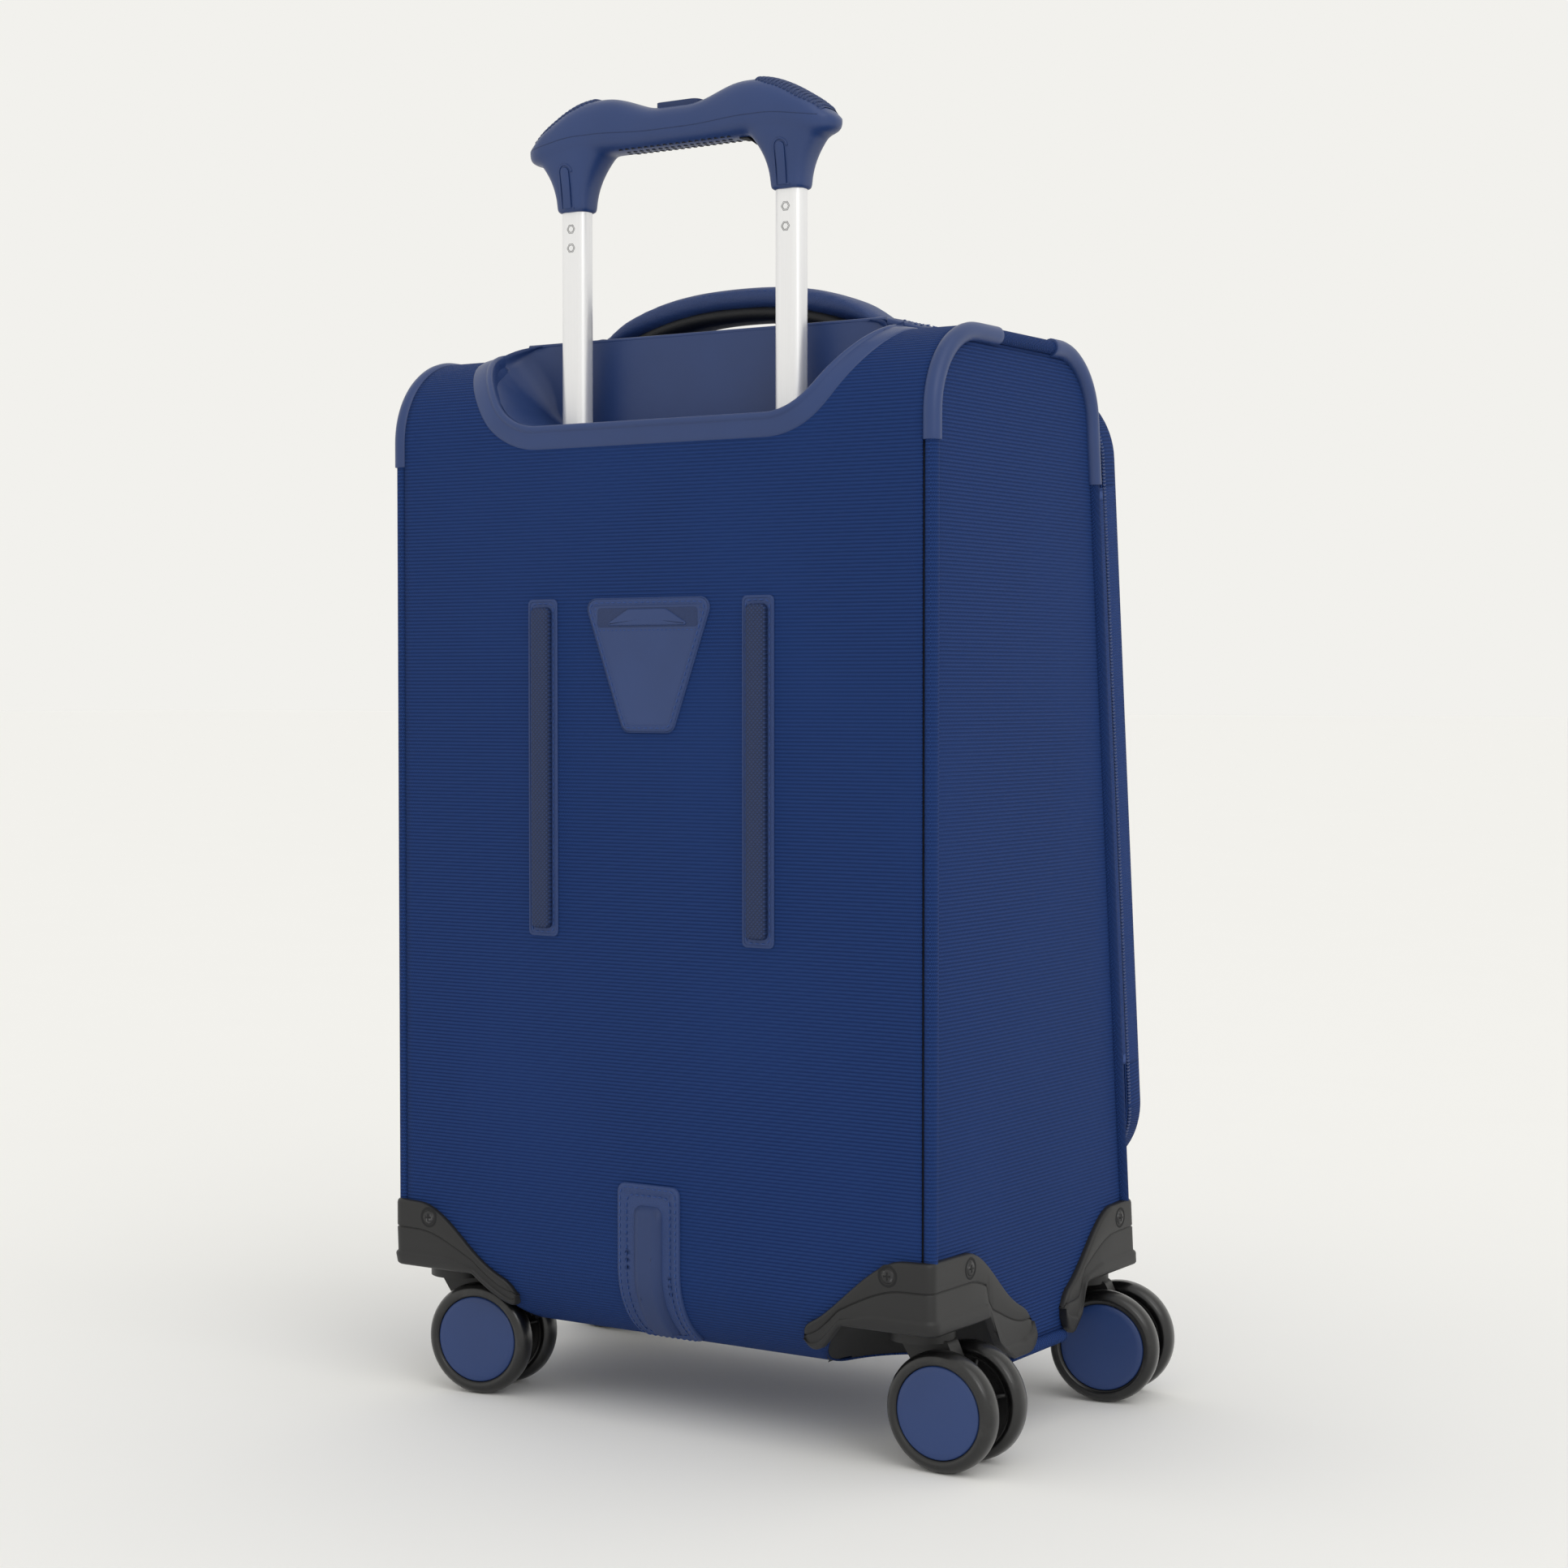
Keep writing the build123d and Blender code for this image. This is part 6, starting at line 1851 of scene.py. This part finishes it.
class SUITCASE_OT_expansion(bpy.types.Operator):
    """Builds the expansion band, its gusset, the four zipper halves and the lid's webbing hinge"""
    bl_idname = "suitcase.expansion"
    bl_label = "Expansion Band"

    def execute(self, context):
        self.tapes()
        self.band()
        self.gusset()
        self.hinge()
        return {"FINISHED"}

    def wall(self, piece, section):
        """Adds a wall round the lid's outline; the section is a list of (inset, out)."""
        rows = []
        for inset, out in section:
            rows.append([lid_point(x, up, out) for x, up in lid_ring(inset)])
        count = len(rows[0])
        step = Track([(x, 0, up) for x, up in lid_ring(0)]).length / count
        drops = [0.0]
        for (a, b), (c, d) in zip(section, section[1:]):
            drops.append(drops[-1] + hypot(c - a, d - b))
        piece.grid(rows, None, lambda i, j: (j * step, drops[i]), close=True)

    def tapes(self):
        halves = [("case_tape", 0.0001, ZIP_HALF, 1, "case", "expansion_zip_case"),
                  ("band_back_tape", ZIP_HALF + RUNNING, BAND_BACK, -1, "expander", "expansion_zip_band"),
                  ("band_front_tape", BAND_FRONT, BAND_FRONT + ZIP_HALF, 1, "expander", "main_zip_band"),
                  ("lid_tape", BAND_FRONT + ZIP_HALF + RUNNING, LID_BACK, -1, "lid", "main_zip_lid")]
        tooth = settings().tooth
        for name, low, high, way, body, node in halves:
            meet, root = (high, low) if way > 0 else (low, high)
            tape = Piece(name)
            self.wall(tape,
                      [(0.009, meet - way * 0.0004), (0.001, meet - way * 0.0003),
                       (0.0003, meet - way * 0.0005),
                             (0.0001, (meet + root) / 2), (0.0001, root)])
            tape.make("zip_tape", body, [node])
            row = Piece(name + "_coil")
            ring = lid_ring(0.0)
            track = Track([lid_point(x, up, meet + way * 0.0001) for x, up in ring + ring[:1]])
            teeth(row, track, edge_facing(track), lambda s, way=way: OUT * way, 0, track.length, tooth)
            row.make("coil", body)

    def band(self):
        piece = Piece("expansion_band")
        self.wall(piece, [(0.003, BAND_BACK), (0.0002, BAND_BACK), (0.0, BAND_BACK + 0.0004),
                          (0.0, (BAND_BACK + BAND_FRONT) / 2), (0.0, BAND_FRONT - 0.0004),
                          (0.0002, BAND_FRONT),
                          (0.003, BAND_FRONT)])
        piece.make("fine_nylon", "expander", ["expander_band"])
        rolls = Piece("band_edges")
        for out in (BAND_BACK + 0.0012, BAND_FRONT - 0.0012):
            ring = [lid_point(x, up, out) for x, up in lid_ring(-0.0001)]
            rolls.sweep(ring, oval(0.0009, 0.0007, 8), OUT, closed=True)
        rolls.make("webbing", "expander")
        seams = Piece("band_stitching")
        for out in (BAND_BACK + 0.003, BAND_FRONT - 0.003):
            ring = lid_ring(0.0)
            path = [lid_point(x, up, out) for x, up in ring]
            facing = edge_facing(Track(path + path[:1]))
            stitches(seams, path, facing, 0.0024, 0.0014, 0.00026, 0.0001, closed=True)
        seams.make("thread", "expander")

    def gusset(self):
        piece = Piece("expansion_gusset_cloth")
        folds = [(0.0115, -0.0078)]
        for k in range(1, 12):
            folds.append((0.0115 + (0.0024 if k % 2 else 0.0004), -0.0078 + 0.0098 * k / 12))
        folds.append((0.0115, 0.0026))
        self.wall(piece, folds)
        gusset = piece.make("lining_cloth", None, ["expansion_gusset"])
        anchor = lid_point(0, 0, 0)
        tuple(anchor - OUT * 0.0074)
        tuple(anchor + OUT * 0.0022)
        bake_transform(gusset)

    def hinge(self):
        strap = Piece("hinge_strap")
        rows = []
        up_low, up_high = -0.16, 0.17
        outs = [BAND_BACK + 0.0005, BAND_BACK + 0.006, BAND_FRONT - 0.002, BAND_FRONT + 0.0008,
                HINGE_OUT - 0.0012,
                HINGE_OUT, HINGE_OUT + 0.0012, LID_BACK + 0.0004, LID_BACK + 0.004, LID_BACK + 0.01]
        for out in outs:
            bow = 0.0009 if abs(out - HINGE_OUT) < 0.003 else 0.0011
            rows.append([lid_point(-LID_HALF - bow, up_low + (up_high - up_low) * k / 90, out)
                         for k in range(91)])
        strap.grid(rows, None, lambda i, j: (outs[i], (up_high - up_low) * j / 90))
        web = strap.make("webbing", None, ["hinge_webbing"])
        line = Vector((-LID_HALF - 0.0009, 0, 0))
        spot = lid_point(0, 0, 0) + line
        tuple(spot + OUT * (HINGE_OUT - 0.0016))
        tuple(spot + OUT * (HINGE_OUT + 0.0016))
        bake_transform(web)
        tacks = Piece("hinge_bartacks")
        for up in (up_low + 0.004, up_high - 0.004):
            for out in (BAND_BACK + 0.002, BAND_BACK + 0.007):
                row = [lid_point(-LID_HALF - 0.0019, up + d, out) for d in (-0.003, 0.003)]
                for k in range(5):
                    path = [p + OUT * (0.0007 * k) for p in row]
                    stitches(tacks, path, (-1, 0, 0), 0.0055, 0.0003, 0.0003)
        tacks.make("thread", "expander")


def edge_facing(track):
    """A function giving the direction out of the lid's edge at a distance along a track."""
    def facing(s):
        q = track.at(s) - lid_point(0, 0, 0)
        side, rise = past_corner(q.x, q.dot(UP))
        return (RIGHT * side + UP * rise).normalized()
    return facing


def lid_ring(inset, count=420):
    """The lid's outline in its own plane, as (x, up), this far inside its edge."""
    half, high = LID_HALF - inset, LID_HALF_HEIGHT - inset
    radius = LID_CORNER - inset
    corners = [(-half, 0, -high), (half, 0, -high), (half, 0, high), (-half, 0, high)]
    track = Track(rounded_path(corners, [radius] * 4, 0.002, True))
    return [(p.x, p.z) for p in (track.at(track.length * k / count) for k in range(count))]


class SUITCASE_OT_lid(bpy.types.Operator):
    """Shapes the fabric lid and its two padded front pockets with their zippers"""
    bl_idname = "suitcase.lid"
    bl_label = "Lid and Pockets"

    def execute(self, context):
        self.shell()
        self.pocket("large_pocket", "front_pocket_large", 0.148, self.large, -0.203, 0.096)
        self.pocket("small_pocket", "front_pocket_small", 0.14, self.small, 0.112, 0.206)
        self.pocket_zips()
        return {"FINISHED"}

    def shell(self):
        piece = Piece("lid_shell")
        edge = 0.011
        section = [(0.0028, LID_BACK), (0.0003, LID_BACK), (0.0, LID_BACK + 0.0006), (0.0, LID_BACK + 0.006),
                   (0.0, LID_FACE - edge)]
        section += [(edge * (1 - cos(a)), LID_FACE - edge + edge * sin(a))
                    for a in (radians(15 * k) for k in range(1, 7))]
        rings = [(lid_ring(inset), out, inset) for inset, out in section]
        rows = [[lid_point(x, up, out) for x, up in ring] for ring, out, inset in rings]
        drops = []
        travel = 0.0
        for (a, b), (c, d) in zip(section[::-1], section[::-1][1:]):
            drops.append(travel)
            travel += hypot(c - a, d - b)
        drops = (drops + [travel])[::-1]
        face_ring = rings[-1][0]
        flat = []
        for (ring, out, inset), drop in zip(rings, drops):
            flat.append([self.spread(x, up, drop) for x, up in face_ring])
        for k in range(1, 13):
            t = 1 - k / 12
            rows.append([lid_point(x * t, up * t, LID_FACE + 0.0006 * (1 - t ** 2)) for x, up in face_ring])
            flat.append([(x * t, up * t) for x, up in face_ring])
        count = len(face_ring)
        piece.grid(rows, None, lambda i, j: (flat[i][j % count][0] + 0.3, flat[i][j % count][1]), close=True)
        piece.make("nylon", "lid", ["lid_panel"], thick=0.0012)
        inside = Piece("lid_lining")
        rows = [[lid_point(x, up, out) for x, up in lid_ring(inset)]
                for inset, out in ((0.0032, LID_BACK + 0.0006), (0.0036, LID_FACE - 0.01),
                                   (0.0075, LID_FACE - 0.0045), (0.012, LID_FACE - 0.0032))]
        for k in range(1, 9):
            rows.append([lid_point(x * (1 - k / 8), up * (1 - k / 8), LID_FACE - 0.0031)
                         for x, up in lid_ring(0.012)])
        inside.grid(rows, None, lambda i, j: (rows[i][j % count].x, rows[i][j % count].z), close=True)
        inside.make("lining_cloth", "lid", thick=-0.0006)

    def spread(self, x, up, drop):
        side, rise = past_corner(x, up)
        size = max(hypot(side, rise), 1e-6)
        return x + side / size * drop, up + rise / size * drop

    def large(self, up):
        knots = [(-0.203, 0.0), (-0.1995, 0.0085), (-0.189, 0.0145), (-0.165, 0.0185), (-0.13, 0.0177),
                 (-0.1, 0.0155),
                 (-0.05, 0.0125), (0.0, 0.0097), (0.05, 0.0068), (0.085, 0.005), (0.092, 0.004), (0.096, 0.0)]
        return float(np.interp(up, [k[0] for k in knots], [k[1] for k in knots]))

    def small(self, up):
        knots = [(0.112, 0.0), (0.114, 0.0028), (0.12, 0.005), (0.135, 0.0065), (0.16, 0.0072),
                 (0.185, 0.0056),
                 (0.2, 0.0042), (0.204, 0.0032), (0.206, 0.0)]
        return float(np.interp(up, [k[0] for k in knots], [k[1] for k in knots]))

    def pocket(self, name, node, half, bulge, low, high):
        piece = Piece(name)
        columns = 60
        rows_up = [low + (high - low) * (0.5 - 0.5 * cos(pi * k / 56)) for k in range(57)]
        rows = []
        for up in rows_up:
            corner = 0.03
            cut = max(0.0, corner - min(up - low, high - up))
            reach = half - (corner - sqrt(max(corner ** 2 - cut ** 2, 0.0))) * 0.9
            row = []
            for k in range(columns + 1):
                t = sin(pi / 2 * (2 * k / columns - 1))
                x = reach * t
                rise = bulge(up) * (1 - abs(t) ** 5) * (1 - 0.1 * t ** 2)
                row.append(lid_point(x, up, LID_FACE + max(rise, 0.0014)))
            rows.append(row)
        back = [[p - OUT * ((p - lid_point(0, 0, 0)).dot(OUT) - LID_FACE + 0.005) for p in row]
                for row in rows]
        piece.grid(rows)
        piece.grid([row[::-1] for row in back])
        piece.grid([rows[0], back[0]])
        piece.grid([back[-1], rows[-1]])
        piece.grid([[row[0] for row in back], [row[0] for row in rows]])
        piece.grid([[row[-1] for row in rows], [row[-1] for row in back]])
        pad = piece.make("pad_nylon", "lid", [node], merge=0.0002)
        inflate(pad, settings().pressure, settings().puff, 0.0042)
        self.hold_flat(pad)
        dress(pad, "pad_nylon", None, subdivide=1)
        self.edge_piping(name, half, low, high)

    def hold_flat(self, pad):
        """Keeps a pad's back on the lid's face."""
        origin = lid_point(0, 0, 0)
        for vert in pad.data.vertices:
            out = (vert.co - origin).dot(OUT)
            if out < LID_FACE - 0.0006:
                vert.co += OUT * (LID_FACE - 0.0006 - out)
        smoother = pad.modifiers.new("smooth", "SMOOTH")
        smoother.factor = 0.5
        smoother.iterations = 4
        apply_modifiers(pad)

    def edge_piping(self, name, half, low, high):
        corners = [(-half, 0, low), (half, 0, low), (half, 0, high), (-half, 0, high)]
        ring = loop(corners, 0.03, 0.003)
        piece = Piece(name + "_piping")
        path = [lid_point(p.x, p.z, LID_FACE + 0.0014) for p in ring]
        piece.sweep(path, oval(0.0016, 0.0016, 10), OUT, closed=True)
        piece.make("vinyl_dark", "lid")
        seams = Piece(name + "_stitching")
        outer = rounded_path([(x * (half + 0.003) / half, 0,
                               up + (0.003 if up > (low + high) / 2 else -0.003))
                              for x, _, up in corners], [0.032] * 4, 0.003, True)[:-1]
        stitches(seams, [lid_point(p.x, p.z, LID_FACE + 0.0008) for p in outer], OUT, 0.0026, 0.0013,
                 0.0003, closed=True)
        seams.make("thread", "lid")

    def pocket_zips(self):
        tape = Piece("pocket_tapes")
        rows = Piece("pocket_coils")
        for half, up in ((0.136, 0.097), (0.128, 0.207)):
            outline_up = [lid_point(x, u, LID_FACE + 0.0002) for x, u in
                          ((-half, up), (half, up), (half, up + 0.008), (-half, up + 0.008))]
            ring = loop(outline_up, 0.0022, 0.002)
            tape.plate(ring, OUT, 0.0012, 0.0004)
            for way in (1, -1):
                line = Track([lid_point(x, up + 0.004 - way * 0.0002, LID_FACE + 0.0016)
                              for x in (-half + 0.002, half - 0.002)])
                teeth(rows, line, lambda s: OUT, lambda s, way=way: UP * way, 0, line.length,
                      settings().tooth)
        tape.make("zip_tape", "lid", ["pocket_zips"])
        rows.make("coil", "lid")


class SUITCASE_OT_inside(bpy.types.Operator):
    """Lines the case and sews in its packing straps"""
    bl_idname = "suitcase.inside"
    bl_label = "Inside"

    def execute(self, context):
        repaint(back_board="board", side_boards="board", top_board="board", bottom_board="board",
                front_frame="fine_nylon")
        low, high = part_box("back_lining")
        piece = Piece("lining_cloth_back")
        rows = []
        for i in range(61):
            z = low.z + (high.z - low.z) * i / 60
            row = []
            for j in range(61):
                x = low.x + (high.x - low.x) * j / 60
                edge = min(x - low.x, high.x - x, z - low.z, high.z - z)
                wave = sin(41 * x + 3.1 * sin(19 * z)) * sin(23 * z + 2.0 * sin(31 * x))
                row.append(Vector((x, low.y - 0.0004 - 0.0006 * wave * smooth(edge, 0, 0.05), z)))
            rows.append(row)
        piece.grid(rows, None, lambda i, j: (rows[i][j].x + 0.2, rows[i][j].z))
        cloth = piece.make("lining_cloth", "case", ["back_lining"])
        self.straps()
        return {"FINISHED"}

    def straps(self):
        low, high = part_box("packing_straps")
        middle = (low.z + high.z) / 2
        piece = Piece("strap_webbing")
        for side in (1, -1):
            path = [Vector((side * x, high.y - 0.0012 - 0.0006 * sin(x * 60), middle))
                    for x in np.linspace(0.018, high.x - 0.001, 40)]
            piece.sweep(path, oval(0.0125, 0.0007, 12, 5), (0, 1, 0))
        piece.make("webbing", "case", ["packing_straps"])
        buckle = Piece("strap_buckle")
        ring = rounded_path([(-0.022, high.y - 0.0014, middle - 0.017),
                             (0.022, high.y - 0.0014, middle - 0.017),
                             (0.022, high.y - 0.0014, middle + 0.017),
                             (-0.022, high.y - 0.0014, middle + 0.017)],
                            [0.005] * 4, 0.0015, True)[:-1]
        buckle.plate(ring, (0, -1, 0), 0.0062, 0.0018)
        for sign in (1, -1):
            ring = rounded_path([(sign * 0.006, high.y - 0.0074, middle - 0.01),
                                 (sign * 0.017, high.y - 0.0074, middle - 0.012),
                                 (sign * 0.017, high.y - 0.0074, middle + 0.012),
                                 (sign * 0.006, high.y - 0.0074, middle + 0.01)],
                                [0.002] * 4, 0.001, True)[:-1]
            buckle.plate(ring, (0, -1, 0), 0.0009, 0.0004)
        buckle.make("black_plastic", "case")


class SUITCASE_OT_sliders(bpy.types.Operator):
    """Plates the three zipper sliders"""
    bl_idname = "suitcase.sliders"
    bl_label = "Zipper Sliders"

    def execute(self, context):
        repaint(main_slider="zinc", expansion_slider="zinc", pocket_slider="zinc")
        return {"FINISHED"}


class SUITCASE_OT_stage(bpy.types.Operator):
    """Sets the pale floor, the soft studio light and the camera"""
    bl_idname = "suitcase.stage"
    bl_label = "Stage"

    def execute(self, context):
        scene = context.scene
        scene.view_settings.view_transform = "Standard"
        floor = Piece("studio_floor")
        spots = (-40, -12, -4, -1, 0, 1, 4, 12, 40)
        floor.grid([[Vector((x, y, 0)) for x in spots] for y in spots])
        floor.make("studio_floor", None)
        self.lights(scene)
        self.camera(scene)
        return {"FINISHED"}

    def lights(self, scene):
        world = bpy.data.worlds.new("studio")
        scene.world = world
        world.use_nodes = True
        sky = world.node_tree.nodes["Background"]
        sky.inputs[0].default_value = linear(242, 241, 237) + (1.0,)
        sky.inputs[1].default_value = 1.0
        lamp = bpy.data.lights.new("softbox", "AREA")
        lamp.size = 0.9
        lamp.energy = settings().lamp
        self.aim(scene, lamp, Vector((-2.0, 1.5, 1.5)))
        sun = bpy.data.lights.new("daylight", "SUN")
        sun.energy = settings().daylight
        sun.angle = radians(50)
        self.aim(scene, sun, Vector((-1.6, 0.7, 2.2)))

    def aim(self, scene, lamp, place):
        obj = bpy.data.objects.new(lamp.name, lamp)
        obj.location = place
        obj.rotation_euler = (Vector((0, 0.05, 0.35)) - place).to_track_quat("-Z", "Y").to_euler()
        scene.collection.objects.link(obj)

    def camera(self, scene):
        lens = bpy.data.cameras.new("camera")
        lens.lens = settings().lens
        lens.sensor_width = 36
        camera = bpy.data.objects.new("camera", lens)
        camera.location = (-0.9086, 1.4031, 0.4017)
        pitch, turn = radians(1.88), radians(33)
        aim = Vector((sin(turn) * cos(pitch), -cos(turn) * cos(pitch), -sin(pitch)))
        camera.rotation_euler = aim.to_track_quat("-Z", "Y").to_euler()
        scene.collection.objects.link(camera)
        scene.camera = camera


class SUITCASE_PT_panel(bpy.types.Panel):
    """Lists the suitcase's settings and pieces"""
    bl_idname = "SUITCASE_PT_panel"
    bl_label = "Suitcase"
    bl_space_type = "VIEW_3D"
    bl_region_type = "UI"
    bl_category = "Suitcase"

    def draw(self, context):
        for name in SuitcaseSettings.__annotations__:
            self.layout.prop(context.scene.suitcase, name)
        for operator in OPERATORS:
            self.layout.operator(operator.bl_idname)


OPERATORS = (
    SUITCASE_OT_stage, SUITCASE_OT_case_fabric, SUITCASE_OT_piping, SUITCASE_OT_bezel, SUITCASE_OT_handle,
    SUITCASE_OT_back_trims, SUITCASE_OT_carry_handles, SUITCASE_OT_guards, SUITCASE_OT_casters,
    SUITCASE_OT_expansion, SUITCASE_OT_lid, SUITCASE_OT_inside, SUITCASE_OT_sliders,
)


def register():
    for cls in (SuitcaseSettings, *OPERATORS, SUITCASE_PT_panel):
        bpy.utils.register_class(cls)
    bpy.types.Scene.suitcase = bpy.props.PointerProperty(type=SuitcaseSettings)


def unregister():
    del bpy.types.Scene.suitcase
    for cls in reversed((SuitcaseSettings, *OPERATORS, SUITCASE_PT_panel)):
        bpy.utils.unregister_class(cls)


def main():
    register()
    for operator in OPERATORS:
        group, name = operator.bl_idname.split(".")
        getattr(getattr(bpy.ops, group), name)()


if __name__ == "__main__":
    main()
